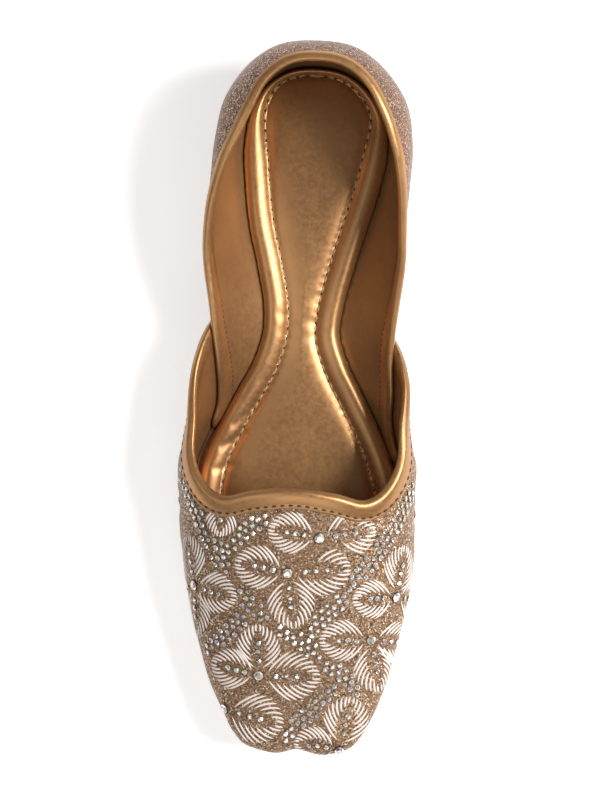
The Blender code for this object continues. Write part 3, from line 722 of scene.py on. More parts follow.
def glitter_finish(name, cell, flakes, tilt, roughness, metallic):
    """Cloth covered in fine glitter: flat flakes that each lie at an angle of their own.

    Some flash and most stay dull. Each Voronoi cell is a flake `cell` millimetres wide.
    Its random vector gives its colour, and its height is that vector times the place in
    the cell, so it leans. Real flakes are about 0.2 mm wide: they are drawn twice as
    coarse, so that they show.
    """
    material, tree, shader, coords = new_finish(name, roughness, metallic)
    where = coords.outputs["Object"]
    flake = add_node(tree, "ShaderNodeTexVoronoi", {"Scale": 1 / (cell * MM)}, {"Vector": where})
    parts = add_node(tree, "ShaderNodeSeparateColor", links={0: flake.outputs["Color"]})
    ramp = add_node(tree, "ShaderNodeValToRGB", links={0: parts.outputs[0]})
    ramp.color_ramp.interpolation = "CONSTANT"
    for index, (place, code) in enumerate(flakes):
        stop = ramp.color_ramp.elements[index] if index < 2 else ramp.color_ramp.elements.new(place)
        stop.position = place
        stop.color = (*linear(code), 1.0)
    tree.links.new(ramp.outputs[0], shader.inputs["Base Color"])
    lean = add_node(tree, "ShaderNodeVectorMath", {1: (0.5, 0.5, 0.5)}, {0: flake.outputs["Color"]},
                    operation="SUBTRACT")
    place = add_node(tree, "ShaderNodeVectorMath", links={0: where, 1: flake.outputs["Position"]},
                     operation="SUBTRACT")
    height = add_node(tree, "ShaderNodeVectorMath", links={0: lean.outputs[0], 1: place.outputs[0]},
                      operation="DOT_PRODUCT")
    bump = add_node(tree, "ShaderNodeBump", {"Strength": 1.0, "Distance": tilt},
                    {"Height": height.outputs["Value"]})
    tree.links.new(bump.outputs[0], shader.inputs["Normal"])
    return material


def rubber_finish(colours):
    """Moulded rubber of a unit sole: matt brown, with painted shade that darkens it down in its tread.
    """
    material, tree, shader, coords = new_finish("moulded_brown_rubber", 0.55, 0.0)
    where = coords.outputs["Object"]
    # Painted shade: the shade attribute darkens the rubber down in the grooves
    depth = add_node(tree, "ShaderNodeAttribute", attribute_name="shade")
    speck = add_node(tree, "ShaderNodeTexNoise", {"Scale": 1 / (0.5 * MM), "Detail": 3.0},
                     {"Vector": where})
    cloud = add_node(tree, "ShaderNodeMath", {1: 0.25}, {0: speck.outputs["Fac"]}, operation="MULTIPLY")
    share = add_node(tree, "ShaderNodeMath", links={0: depth.outputs["Fac"], 1: cloud.outputs[0]},
                     operation="ADD")
    tree.links.new(colour_blend(tree, share.outputs[0], colours.sole, colours.sole_groove_shade),
                   shader.inputs["Base Color"])
    bump = add_node(tree, "ShaderNodeBump", {"Strength": 0.25, "Distance": 0.06 * MM},
                    {"Height": speck.outputs["Fac"]})
    tree.links.new(bump.outputs[0], shader.inputs["Normal"])
    return material


class MojariSizes(bpy.types.PropertyGroup):
    """Sizes of the shoe's trim."""

    binding_pitch: FloatProperty(
        name="Binding stitch pitch", description="From one stitch of the binding to the next",
        default=2.9 * MM, min=1.0 * MM, unit="LENGTH")
    sock_pitch: FloatProperty(
        name="Sock stitch pitch", description="From one stitch of the sock to the next",
        default=3.6 * MM, min=1.0 * MM, unit="LENGTH")
    lining_pitch: FloatProperty(
        name="Lining stitch pitch", description="From one stitch of the lining to the next",
        default=2.0 * MM, min=1.0 * MM, unit="LENGTH")
    binding_band: FloatProperty(
        name="Binding band", description="How far the throat's binding covers the vamp",
        default=4.7 * MM, min=2.0 * MM, unit="LENGTH")
    thread_width: FloatProperty(
        name="Thread width", description="Width of an embroidery thread",
        default=0.78 * MM, min=0.2 * MM, unit="LENGTH")
    small_stone: FloatProperty(
        name="Small stone", description="Diameter of a small stone",
        default=1.85 * MM, min=0.5 * MM, unit="LENGTH")
    large_stone: FloatProperty(
        name="Large stone", description="Diameter of a flower's middle stone",
        default=3.4 * MM, min=1.0 * MM, unit="LENGTH")
    leather: FloatProperty(
        name="Leather", description="Thickness of the folded binding leather",
        default=0.7 * MM, min=0.2 * MM, unit="LENGTH")


class MojariColours(bpy.types.PropertyGroup):
    """Colours of the shoe's finishes."""

    sole: FloatVectorProperty(
        name="Sole", description="Brown of the moulded rubber",
        subtype="COLOR", default=linear("#7d5d46"))
    # Painted shade: the brown that the tread's grooves are darkened to
    sole_groove_shade: FloatVectorProperty(
        name="Sole, deep", description="Brown down in the tread's grooves",
        subtype="COLOR", default=linear("#46301f"))
    bronze: FloatVectorProperty(
        name="Bronze leather", description="Lighter tone of the foiled leather",
        subtype="COLOR", default=linear("#bb8c5b"))
    bronze_deep: FloatVectorProperty(
        name="Bronze leather, deep", description="Darker tone of the foiled leather",
        subtype="COLOR", default=linear("#7b5132"))
    silk: FloatVectorProperty(
        name="Silk", description="Ivory of the embroidery thread",
        subtype="COLOR", default=linear("#f3e4da"))
    seam_thread: FloatVectorProperty(
        name="Seam thread", description="Dark brown of the binding's stitches",
        subtype="COLOR", default=linear("#33200f"))


def shoe_colours():
    """The scene's colours of the shoe."""
    return bpy.context.scene.mojari_colours


def shoe_sizes():
    """The scene's sizes of the shoe's trim."""
    return bpy.context.scene.mojari_sizes


def kept(name, make):
    """The material of a name, made the first time that it is asked for."""
    return bpy.data.materials.get(name) or make(name)


def bronze_leather():
    """The foiled leather that lines and binds the shoe."""
    colours = shoe_colours()
    return kept("foiled_bronze_leather",
                lambda name: leather_finish(name, colours.bronze_deep, colours.bronze, 0.36, 0.66))


# Painted shade: the share of the bindings' leather colour that the lining keeps
LINING_PAINTED_SHADE = 0.78


def lining_leather():
    """The bindings' leather made duller, and darker by a painted shade for the lining inside the shoe.
    """
    dark, light = (tuple(LINING_PAINTED_SHADE * part for part in shade)
                   for shade in (shoe_colours().bronze_deep, shoe_colours().bronze))
    return kept("bronze_lining_leather", lambda name: leather_finish(name, dark, light, 0.42, 0.55))


def sole_plan(distance, sign, inset):
    """Points of the sole's outline in plan, set in towards the ridge's line."""
    table = outline(distance, sign)
    edge, reach = table[:, 0:2], table[:, 5:7] - table[:, 0:2]
    return edge + reach * (inset / np.linalg.norm(reach, axis=1, keepdims=True))


def disc(inner, outer, share):
    """A grid between two lines of plan points, by shares across."""
    return inner[:, None] * (1.0 - share[None, :, None]) + outer[:, None] * share[None, :, None]


def groove_side(row, share):
    """The side of a tread groove at shares of its run: a straight line plus a parabola."""
    return (row.side_a + (row.side_b - row.side_a) * share
            + row.bow * 4.0 * share * (1.0 - share)) * SOLE_WIDTHS["ball"]


def groove_dip(side, along, row):
    """How deep a point lies in a groove of the tread: 1 on its line, 0 beside it."""
    share = np.linspace(0.0, 1.0, 160)
    line = np.column_stack([groove_side(row, share),
                            (row.along_a + (row.along_b - row.along_a) * share) * SOLE_LENGTH])
    _, away = nearest(np.column_stack([side.ravel(), along.ravel()]), line)
    return smooth_step(1.0 - (away.reshape(side.shape) / GROOVE_WIDTH - 0.30) / 0.45)


def between(value, low, high, soft):
    """1 between two limits, 0 outside, with soft edges."""
    return smooth_step((value - low) / soft + 0.5) * smooth_step((high - value) / soft + 0.5)


def past_groove(side, along, row, sign=1, start=0.0, soft=LENS_SOFT):
    """Rises from 0 to 1 as a point goes past a tread groove: inwards for sign 1, else outwards."""
    share = np.clip((along / SOLE_LENGTH - row.along_a) / (row.along_b - row.along_a), 0.0, 1.0)
    return smooth_step((sign * (side - groove_side(row, share)) - start) / soft)


def swell(place, pitch):
    """Narrow grooves at a pitch between flat lands: a cosine's upper half, cubed."""
    return (0.5 + 0.5 * np.cos(2 * pi * place / pitch)) ** 3


def tread_relief(side, along, inset):
    """How far the tread is cut in, in metres, at points of the underside.

    A rim groove runs inside the edge, nearer to it on the heel, whose field it frames
    all round. The forefoot's panels carry fine ribs across, the toe cap a diamond
    hatch, the two lenses waves that run across, and the heel broad ribs across. Waves
    and ribs are flat lands between narrow grooves: a cosine swell, cubed.
    """
    share = along / SOLE_LENGTH
    on_heel = along < HEEL_DEPTH + BREAST_SLOPE
    width = np.where(on_heel, HEEL_RIM_WIDTH, RIM_WIDTH)
    rim = between(inset, width, width + GROOVE_WIDTH, TREAD_SOFT)
    front = HEEL_DEPTH - HEEL_RIM_WIDTH
    rim = np.where(on_heel, rim * smooth_step((front - along) / TREAD_SOFT), rim)
    rim = np.maximum(rim, between(along, front - GROOVE_WIDTH, front, TREAD_SOFT)
                     * smooth_step((inset - width) / TREAD_SOFT))
    field = smooth_step((inset - width - GROOVE_WIDTH - TREAD_SOFT) / (0.5 * MM))
    dips = [groove_dip(side, along, row) for row in TREAD_GROOVES]
    _, diagonal, inner_lens, outer_lens, _ = TREAD_GROOVES
    panel = between(share, *PANEL_SPAN, SPAN_SOFT) * field
    in_inner = (past_groove(side, along, inner_lens) * past_groove(side, along, diagonal)
                * between(share, *INNER_LENS_SPAN, LENS_SPAN_SOFT)
                * np.where(share < INNER_LENS_FOOT, past_groove(side, along, diagonal, 1, MM, MM), 1.0))
    in_outer = (past_groove(side, along, outer_lens, -1)
                * between(share, *OUTER_LENS_SPAN, LENS_SPAN_SOFT))
    lens = np.clip(in_inner + in_outer, 0.0, 1.0) * panel
    wave = swell(along + WAVE_SWERVE * np.sin(2 * pi * side / WAVE_LENGTH), WAVE_PITCH)
    rib = 0.5 + 0.5 * np.sin(2 * pi * along / RIB_PITCH)
    toe_cap = smooth_step((share - TOE_CAP_START) / SPAN_SOFT) * field
    hatch = 0.5 + 0.5 * (np.sin(2 * pi * (along + side) / HATCH_PITCH)
                         * np.sin(2 * pi * (along - side) / HATCH_PITCH))
    heel_field = between(along, HEEL_FIELD_START, front - GROOVE_WIDTH - 0.6 * MM, TREAD_SOFT) * field
    relief = (WAVE_DEPTH * lens * wave + RIB_DEPTH * (panel - lens) * rib + HATCH_DEPTH * toe_cap * hatch
              + HEEL_RIB_DEPTH * heel_field * swell(front - along, HEEL_RIB_PITCH))
    inside_rim = smooth_step((inset - RIM_WIDTH) / (0.6 * MM))
    deep = np.maximum.reduce([rim] + [dip * inside_rim for dip in dips])
    relief = np.maximum(relief, GROOVE_DEPTH * deep)
    return relief * (1.0 - between(share, *PLAIN_WAIST_SPAN, SPAN_SOFT) * (1.0 - rim))


def edge_lines(rows, make):
    """The inner and outer lines of a plan, from the back to the toe."""
    return make(rows, 1), make(rows, -1)


class MOJARI_OT_outsole(bpy.types.Operator):
    """Make the moulded unit sole with its rim, tread and low heel"""

    bl_idname = "mojari.outsole"
    bl_label = "Outsole"

    def execute(self, context):
        breast = distance_at(np.array([HEEL_DEPTH, HEEL_DEPTH + BREAST_SLOPE]))
        rows = np.sort(np.concatenate([np.linspace(0.0, HALF_ROUND, SOLE_ROWS + 1), breast]))
        across = np.linspace(0.0, 1.0, SOLE_COLUMNS + 1)
        border = np.vstack([sole_plan(rows, 1, 0.0), sole_plan(rows, -1, 0.0)[::-1]])
        under = disc(*edge_lines(rows, lambda d, sign: sole_plan(d, sign, 2 * EDGE_ROUND)), across)
        _, inset = nearest(under.reshape(-1, 2), border)
        inset = inset.reshape(under.shape[:2])
        cut = tread_relief(under[..., 0], under[..., 1], inset)
        cut *= smooth_step((inset - 2.5 * EDGE_ROUND) / MM)
        # The underside is raised by what is cut into it, and is painted darker where it is cut deep:
        # painted shade in the grooves
        floor = sole_bottom(under[..., 1])
        # Painted shade: the deeper the cut, the darker the rubber is coloured
        dark = np.minimum(1.15 * cut / GROOVE_DEPTH, 1.0)
        parts = [patch(np.dstack([under, floor + cut]), under / MM, values=dark)]
        # Each side is a grid of lines round the outline: a quarter ellipse round the bottom
        # edge, a wall hollowed like a squared sine and a quarter circle round the top edge
        turn = np.linspace(0.0, pi / 2, 5)
        for sign in (1, -1):
            lines = []
            for angle in turn:
                plan = sole_plan(rows, sign, 2 * EDGE_ROUND * (1.0 - np.sin(angle)))
                up = sole_bottom(plan[:, 1]) + EDGE_ROUND * (1.0 - np.cos(angle))
                lines.append(np.column_stack([plan, up]))
            for share in np.linspace(0.0, 1.0, 9)[1:]:
                plan = sole_plan(rows, sign, SIDE_WALL_HOLLOW * np.sin(pi * share) ** 2)
                low = sole_bottom(plan[:, 1]) + EDGE_ROUND
                high = sole_top(plan[:, 1]) - EDGE_ROUND
                lines.append(np.column_stack([plan, low + (high - low) * share]))
            for angle in turn[1:]:
                plan = sole_plan(rows, sign, EDGE_ROUND * (1.0 - np.cos(angle)))
                up = sole_top(plan[:, 1]) - EDGE_ROUND * (1.0 - np.sin(angle))
                lines.append(np.column_stack([plan, up]))
            parts.append(patch(np.stack(lines, axis=1)))
        top = disc(*edge_lines(rows, lambda d, sign: sole_plan(d, sign, EDGE_ROUND)),
                   np.linspace(0.0, 1.0, 4))
        parts.append(patch(np.dstack([top, sole_top(top[..., 1])])))
        make_piece("outsole_rubber", parts, [rubber_finish(shoe_colours())], ["outsole"])
        return {"FINISHED"}


def sock_plan(distance, sign, height):
    """The sock's edge in plan at a height over the sole, inside the upper's wall."""
    table = outline(distance, sign)
    base = sole_top(table[:, 1]) + CLEARANCE
    wall = last_points(distance, sign, rise_at_height(distance, sign, base + height))[:, :2]
    reach = table[:, 5:7] - wall
    span = np.linalg.norm(reach, axis=1, keepdims=True)
    return wall + reach * np.minimum(SOCK_GAP / span, 1.0)


# Soft troughs (positive depth) and ridges of the sock, pressed in by hand: two ends in
# millimetres (side, along), half-width and depth in millimetres.
Crease = namedtuple("Crease", "side_a along_a side_b along_b width depth")
SOCK_CREASES = [
    Crease(-9.0, 88.0, 8.0, 92.0, 1.6, 0.22),
    Crease(-8.0, 94.0, 4.0, 97.0, 1.3, 0.16),
    Crease(-5.0, 80.0, 9.0, 83.5, 1.8, 0.14),
    Crease(-24.0, 128.0, -16.0, 120.0, 1.2, 0.30),
    Crease(-28.0, 136.0, -20.0, 131.0, 1.2, 0.34),
    Crease(-30.0, 144.0, -22.0, 142.0, 1.3, 0.30),
    Crease(-21.0, 117.0, -15.0, 111.0, 1.2, 0.20),
]


def crease_depth(plan, creases):
    """Depth of listed creases: a bell across each line, fading past its ends."""
    depth = np.zeros(plan.shape[:-1])
    for row in creases:
        start = np.array([row.side_a, row.along_a]) * MM
        run = np.array([row.side_b, row.along_b]) * MM - start
        share = ((plan - start) @ run) / (run @ run)
        away = np.linalg.norm(plan - start - np.clip(share, 0, 1)[..., None] * run, axis=-1)
        depth += row.depth * MM * np.exp(-(away / (row.width * MM)) ** 2)
    return depth


class Sock:
    """The sock's top as a height over its plan: a pad, a stitched valley and a roll."""

    def __init__(self):
        fine = np.linspace(0.0, HALF_ROUND, 900)
        inner, outer = edge_lines(fine, lambda d, sign: sock_plan(d, sign, SOCK_EDGE_HEIGHT))
        self.border = np.vstack([inner, outer[::-1]])
        steps = np.linalg.norm(np.diff(self.border, axis=0), axis=1)
        self.run = np.concatenate([[0.0], np.cumsum(steps)])

    def roll(self, along):
        """Width of the roll, which narrows round the heel."""
        start, end = SOCK_HEEL_SPAN
        grown = smooth_step((along - start) / (end - start))
        return SOCK_ROLL_WIDTH * (SOCK_HEEL_SHARE + (1.0 - SOCK_HEEL_SHARE) * grown)

    def height(self, plan):
        """Height over the floor: the roll swells like half a sine from the edge to the
        stitches, and past them the pad rises to its full height as an exponential does.

        Puckers, which are bells across the stitches and cosines along them, creases and
        a gentle unevenness of a tenth of a millimetre are taken off and added.
        """
        near, inset = nearest(plan.reshape(-1, 2), self.border)
        inset, run = inset.reshape(plan.shape[:-1]), self.run[near].reshape(plan.shape[:-1])
        width = self.roll(plan[..., 1])
        across = np.clip(inset / width, 0.0, 1.0)
        arch = np.sin(pi * across ** 0.72) ** 0.8
        roll = (SOCK_EDGE_HEIGHT + SOCK_VALLEY_RISE * across
                + (SOCK_THICKNESS + SOCK_ROLL_RISE - SOCK_EDGE_HEIGHT) * arch)
        past = inset - width
        pad = (SOCK_EDGE_HEIGHT + SOCK_VALLEY_RISE + (SOCK_THICKNESS + SOCK_PAD_RISE - SOCK_EDGE_HEIGHT)
               * (1.0 - np.exp(-np.clip(past, 0, None) / SOCK_PAD_SLOPE)))
        body = np.where(past < 0, roll, pad)
        pucker = ((0.5 + 0.5 * np.cos(2 * pi * run / PUCKER_PITCH))
                  * (0.75 + 0.25 * np.sin(run / (11 * MM))))
        body -= PUCKER_DEPTH * pucker * np.exp(-(past / PUCKER_REACH) ** 2)
        body -= crease_depth(plan, SOCK_CREASES)
        body += 0.10 * MM * (np.sin(plan[..., 1] / (7.3 * MM)) * np.sin(plan[..., 0] / (5.1 * MM) + 1.0))
        return sole_top(plan[..., 1]) + CLEARANCE + body

    def seam(self):
        """The stitched line in plan: the border moved in by the roll's width."""
        heading = unit(np.gradient(self.border, axis=0))
        inward = np.column_stack([-heading[:, 1], heading[:, 0]])
        return self.border + inward * self.roll(self.border[:, 1])[:, None]


class MOJARI_OT_insole(bpy.types.Operator):
    """Make the padded sock with its rolled, stitched edge"""

    bl_idname = "mojari.insole"
    bl_label = "Insole"

    def execute(self, context):
        sock = Sock()
        # The columns stand closer at both edges, by a cosine, because the roll is there
        rows = np.linspace(0.0, HALF_ROUND, SOCK_ROWS + 1)
        across = 0.5 - 0.5 * np.cos(pi * np.linspace(0.0, 1.0, SOCK_COLUMNS + 1))
        rim = edge_lines(rows, lambda d, sign: sock_plan(d, sign, SOCK_EDGE_HEIGHT))
        foot = edge_lines(rows, lambda d, sign: sock_plan(d, sign, 0.0))
        top = disc(*rim, across)
        parts = [patch(np.dstack([top, sock.height(top)]), top / MM)]
        base = disc(*foot, np.linspace(0.0, 1.0, 4))
        parts.append(patch(np.dstack([base, sole_top(base[..., 1]) + CLEARANCE])))
        for high, low in zip(rim, foot):
            parts.append(patch(strip(np.column_stack([high, sock.height(high)]),
                                     np.column_stack([low, sole_top(low[:, 1]) + CLEARANCE]))))
        piece = make_piece("padded_insole", parts, [bronze_leather()], ["insole"],
                           sharp=70.0)
        return {"FINISHED"}


class MOJARI_OT_quarter(bpy.types.Operator):
    """Make the glitter quarter with its leather lining"""

    bl_idname = "mojari.quarter"
    bl_label = "Quarter"

    def execute(self, context):
        cloth = quarter_cloth()
        none = np.zeros(cloth.grid.shape[:2])
        inner, outer = stood_off(cloth, none), stood_off(cloth, none + WALL)
        parts = wall_parts(inner, outer, cloth.flat, ridge=False)
        glitter = kept("rose_bronze_glitter",
                       lambda name: glitter_finish(name, 0.38, QUARTER_FLAKES, 0.8, 0.40, 0.40))
        # Slot 1, the lining and the cut edges, takes the leather darkened as painted shade
        make_piece("quarter_wall", parts, [glitter, lining_leather()], ["upper_quarter"])
        return {"FINISHED"}


class MOJARI_OT_vamp(bpy.types.Operator):
    """Make the vamp's shimmer cloth with its lining"""

    bl_idname = "mojari.vamp"
    bl_label = "Vamp"

    def execute(self, context):
        cloth = vamp_cloth()
        lift = vamp_lift(cloth.grid[..., 1])
        parts = wall_parts(stood_off(cloth, lift), stood_off(cloth, lift + WALL), cloth.flat, ridge=True)
        ground = kept("bronze_shimmer_cloth",
                      lambda name: glitter_finish(name, 0.42, VAMP_FLAKES, 0.7, 0.42, 0.35))
        make_piece("vamp_wall", parts, [ground, bronze_leather()], ["upper_vamp"])
        return {"FINISHED"}


def edge_inwards(edge, hint):
    """Unit directions in the flat cloth from its edge inwards, on the hint's side."""
    heading = unit(np.gradient(edge, axis=0))
    inward = np.column_stack([-heading[:, 1], heading[:, 0]])
    facing = np.sum(inward * hint, axis=1, keepdims=True)
    return inward * np.sign(np.where(facing == 0, 1.0, facing))


class EdgeLine:
    """A cut edge of the upper's cloth, which a folded binding wraps."""

    def __init__(self, cloth, column_edge, lift):
        self.cloth = cloth
        self.lift = lift
        if column_edge:
            order = [(0, slice(None)), (-1, slice(-2, None, -1))]
            self.flat = np.vstack([cloth.flat[at] for at in order])
            inner = np.vstack([cloth.flat[at] for at in ((2, slice(None)), (-3, slice(-2, None, -1)))])
        else:
            self.flat = cloth.flat[:, -1]
            inner = cloth.flat[:, -3]
        self.inward = edge_inwards(self.flat, inner - self.flat)

    def place(self, depth, high):
        """Points at depths inside the edge (negative past it) and heights off the last.

        Inside the edge a point lies on the cloth, moved out along its normal. Past the
        edge it goes straight on in the direction in which the cloth ends.
        """
        depth = np.broadcast_to(depth, (len(self.flat),))
        points, normals, _ = self.cloth.at(self.flat + self.inward * np.maximum(depth, 0.0)[:, None])
        ahead, _, _ = self.cloth.at(self.flat + self.inward * (np.maximum(depth, 0.0) + MM)[:, None])
        off = unit(points - ahead)
        high = high + self.lift(points[:, 1])
        return points + off * np.maximum(-depth, 0.0)[:, None] + normals * high[:, None]

    def line(self, depth, high):
        """A line at a depth inside the edge and a height off the last, with its normals."""
        _, normals, _ = self.cloth.at(self.flat + self.inward * depth)
        return self.place(depth, high), normals

    def wrapped(self, band, inner_band, leather, tight):
        """The folded strip's closed section carried along the edge.

        It starts at the band's outer border, follows the outside at the leather's
        thickness, rounds the edge, comes down the inside and returns on the wall. Each
        point of it is a depth inside the edge, a height off the last and the share of
        `tight` by which it is drawn in.
        """
        over = WALL + leather
        roll = BINDING_HEIGHT
        section = [(band, WALL + 0.04 * MM, 0), (band + 0.1 * MM, WALL + 0.4 * leather, 0),
                   (band - 0.2 * MM, over - 0.05 * MM, 0), (band - 0.6 * MM, over, 0),
                   (band - 1.1 * MM, over - 0.25 * MM, 0), (band - 1.8 * MM, over + 0.05 * MM, 0),
                   (0.6 * MM, over + 0.30 * MM, 0), (-0.6 * MM, over + 0.28 * MM, 0),
                   (-0.60 * roll, over + 0.02 * MM, 0), (-0.86 * roll, 0.75 * WALL, 0),
                   (-0.96 * roll, 0.5 * WALL, 0), (-0.90 * roll, 0.22 * WALL, 0.1),
                   (-0.64 * roll, -0.05 * MM, 0.8), (-0.2 * roll, -0.2 * MM, 1),
                   (0.8 * MM, -0.15 * MM, 1), (inner_band - 0.3 * MM, 0.0, 1),
                   (inner_band, 0.0, 0.6), (inner_band, -0.04 * MM, 0),
                   (0.1 * MM, -0.04 * MM, 0), (-0.15 * MM, 0.3 * WALL, 0), (-0.15 * MM, 0.7 * WALL, 0),
                   (0.1 * MM, WALL + 0.04 * MM, 0)]
        lines = [self.place(depth, high - inside * tight) for depth, high, inside in section]
        return np.stack(lines, axis=1)


def tucked(ends):
    """Two more sections past a strip's last, on along its heading and down to the sole.

    Each is the last section made smaller about its middle, moved on by a few millimetres
    and lowered by a share of its height over the sole.
    """
    smaller, ahead, lower = np.array([0.8, 0.15]), np.array([2.0, 5.0]) * MM, np.array([0.5, 1.0])
    middle = ends[0].mean(axis=0)
    on = middle + smaller[:, None, None] * (ends[0] - middle)
    on += ahead[:, None, None] * unit(middle - ends[1].mean(axis=0))
    deep = on[..., 2].min(axis=1) - sole_top(on[..., 1]).mean(axis=1) - CLEARANCE
    on[..., 2] -= lower[:, None] * np.maximum(deep, 0.0)[:, None]
    on[..., 2] = np.maximum(on[..., 2], sole_top(on[..., 1]) + CLEARANCE)
    return on


def closed_tube(lines):
    """A closed section's lines along a path as grids: the skin and its two end caps."""
    skin = np.concatenate([lines, lines[:, :1]], axis=1)
    middle = lines.mean(axis=1, keepdims=True)
    parts = [patch(skin)]
    for end in (slice(0, 1), slice(len(lines) - 1, len(lines))):
        parts.append(patch(np.concatenate([skin[end], np.broadcast_to(middle[end], skin[end].shape)])))
    return parts


def vamp_edge():
    """The vamp's back edge from the inner wing over the throat to the outer wing."""
    return EdgeLine(vamp_cloth(), True, vamp_lift)


def quarter_edge():
    """The quarter's topline."""
    return EdgeLine(quarter_cloth(), False, lambda along: 0.0 * along)


class MOJARI_OT_bindings(bpy.types.Operator):
    """Fold the bronze leather strips over the topline and the vamp's edge"""

    bl_idname = "mojari.bindings"
    bl_label = "Bindings"

    def execute(self, context):
        sizes = shoe_sizes()
        edge = quarter_edge()
        points, _, _ = edge.cloth.at(edge.flat)
        # The fold stands further into the shoe where no vamp covers the topline
        start, end = FREE_TOPLINE_SPAN
        free = 1.0 - smooth_step((points[:, 1] / SOLE_LENGTH - start) / (end - start))
        tight = 0.55 * MM * (0.4 + 0.6 * free)
        lines = edge.wrapped(QUARTER_BAND, QUARTER_INNER_BAND, QUARTER_LEATHER, tight)
        lines = np.concatenate([tucked(lines[:2])[::-1], lines, tucked(lines[:-3:-1])])
        make_piece("quarter_binding_strip", closed_tube(lines), [bronze_leather()], ["quarter_binding"],
                   sharp=80.0)
        edge = vamp_edge()
        points, _, _ = edge.cloth.at(edge.flat)
        # It does so too where the vamp lies on the last, with no quarter under it
        tight = 0.5 * MM * (1.0 - vamp_lift(points[:, 1]) / vamp_lift(0.0)) + 0.12 * MM
        lines = edge.wrapped(sizes.binding_band, VAMP_INNER_BAND, sizes.leather, tight)
        make_piece("vamp_binding_strip", closed_tube(lines), [bronze_leather()], ["vamp_binding"],
                   sharp=80.0)
        return {"FINISHED"}


# The embroidery's flowers, charted in millimetres on the flat cloth: each
# flower's middle and the tips of its petals.
Flower = namedtuple("Flower", "side along tips")
FLOWERS = [
    Flower(-1.0, 177.5, [(-20.0, 174.5), (21.0, 175.0), (1.5, 197.5)]),
    Flower(9.5, 165.0, [(-8.5, 162.0), (29.5, 161.5)]),
    Flower(37.5, 185.5, [(20.5, 186.5), (42.0, 167.0), (56.0, 188.0)]),
    Flower(28.0, 200.5, [(9.5, 201.0), (32.0, 220.0), (46.5, 203.0)]),
    Flower(-10.5, 214.5, [(-11.0, 195.5), (-28.5, 211.0), (11.5, 214.0)]),
    Flower(-22.5, 227.5, [(-1.0, 232.0)]),
    Flower(-36.0, 184.0, [(-18.0, 187.5), (-40.0, 166.0), (-36.0, 203.0), (-54.0, 188.0)]),
    Flower(18.0, 239.5, [(22.0, 220.5), (1.5, 237.5)]),
    Flower(-23.0, 150.5, [(-25.5, 166.5)]),
    Flower(56.0, 157.0, [(58.0, 176.0), (53.0, 138.0)]),
    Flower(57.0, 121.0, [(61.0, 102.0), (70.0, 131.0)]),
    Flower(73.0, 117.0, [(70.0, 99.0)]),
    Flower(-55.0, 155.0, [(-57.0, 174.0), (-52.0, 136.5)]),
    Flower(-56.0, 119.0, [(-60.0, 100.0), (-69.0, 129.0)]),
    Flower(-71.0, 115.0, [(-68.0, 96.0)]),
]

# The bands of three staggered rows of stones that part the flowers, charted likewise
Band = namedtuple("Band", "side_a along_a side_b along_b")
STONE_BANDS = [
    Band(-8.0, 157.0, -26.0, 172.5),
    Band(-26.5, 172.5, -13.5, 189.5),
    Band(-13.5, 189.5, 3.0, 201.0),
    Band(3.0, 201.0, 25.5, 219.0),
    Band(-13.0, 190.5, -30.0, 208.5),
    Band(32.5, 166.0, 16.0, 188.0),
    Band(16.0, 188.0, 3.0, 201.0),
    Band(17.0, 219.0, -3.0, 236.5),
    Band(-41.5, 147.0, -26.5, 172.0),
    Band(46.0, 148.0, 32.5, 166.0),
    Band(-44.0, 146.0, -62.0, 137.0),
    Band(48.0, 147.0, 64.0, 139.0),
    Band(-46.0, 130.0, -66.0, 112.0),
    Band(47.0, 131.0, 68.0, 113.0),
]

# A petal: strokes on each side, points on each, and its stones as shares of its length
STROKES = 8
STROKE_POINTS = 7
PETAL_STONES = np.array([0.27, 0.44, 0.60])

# How near strokes may come: past their own petal's reach, and to a band's middle line
PETAL_SLACK = 2.4 * MM
BAND_ROOM = 0.3 * MM

# The stones' rows, the chance in their places, and the room kept round each, the
# flowers' middles and the strokes
ROW_OFFSET = 2.1 * MM
STONE_PITCH = 2.8 * MM
STONE_DRIFT = 0.14 * MM
STONE_ROOM = 1.55 * MM
FLOWER_ROOM = 2.4 * MM
STROKE_ROOM = 0.95 * MM


def vamp_face(cloth, flat):
    """The vamp's outer face at flat coordinates: points, normals and misses."""
    points, normals, miss = cloth.at(flat)
    return points + normals * (vamp_lift(points[..., 1]) + WALL)[..., None], normals, miss


def line_gap(points, starts, ends):
    """How far flat points lie from each of several straight lines: one column a line."""
    run = ends - starts
    share = np.einsum("psi,si->ps", points[:, None] - starts[None], run) / (run ** 2).sum(axis=1)
    foot = starts[None] + np.clip(share, 0.0, 1.0)[..., None] * run[None]
    return np.linalg.norm(points[:, None] - foot, axis=2)


def edge_gap(cloth, flat):
    """How far flat points lie from the vamp's back edge."""
    border = np.vstack([cloth.flat[0], cloth.flat[-1]])
    return nearest(flat.reshape(-1, 2), border)[1].reshape(flat.shape[:-1])


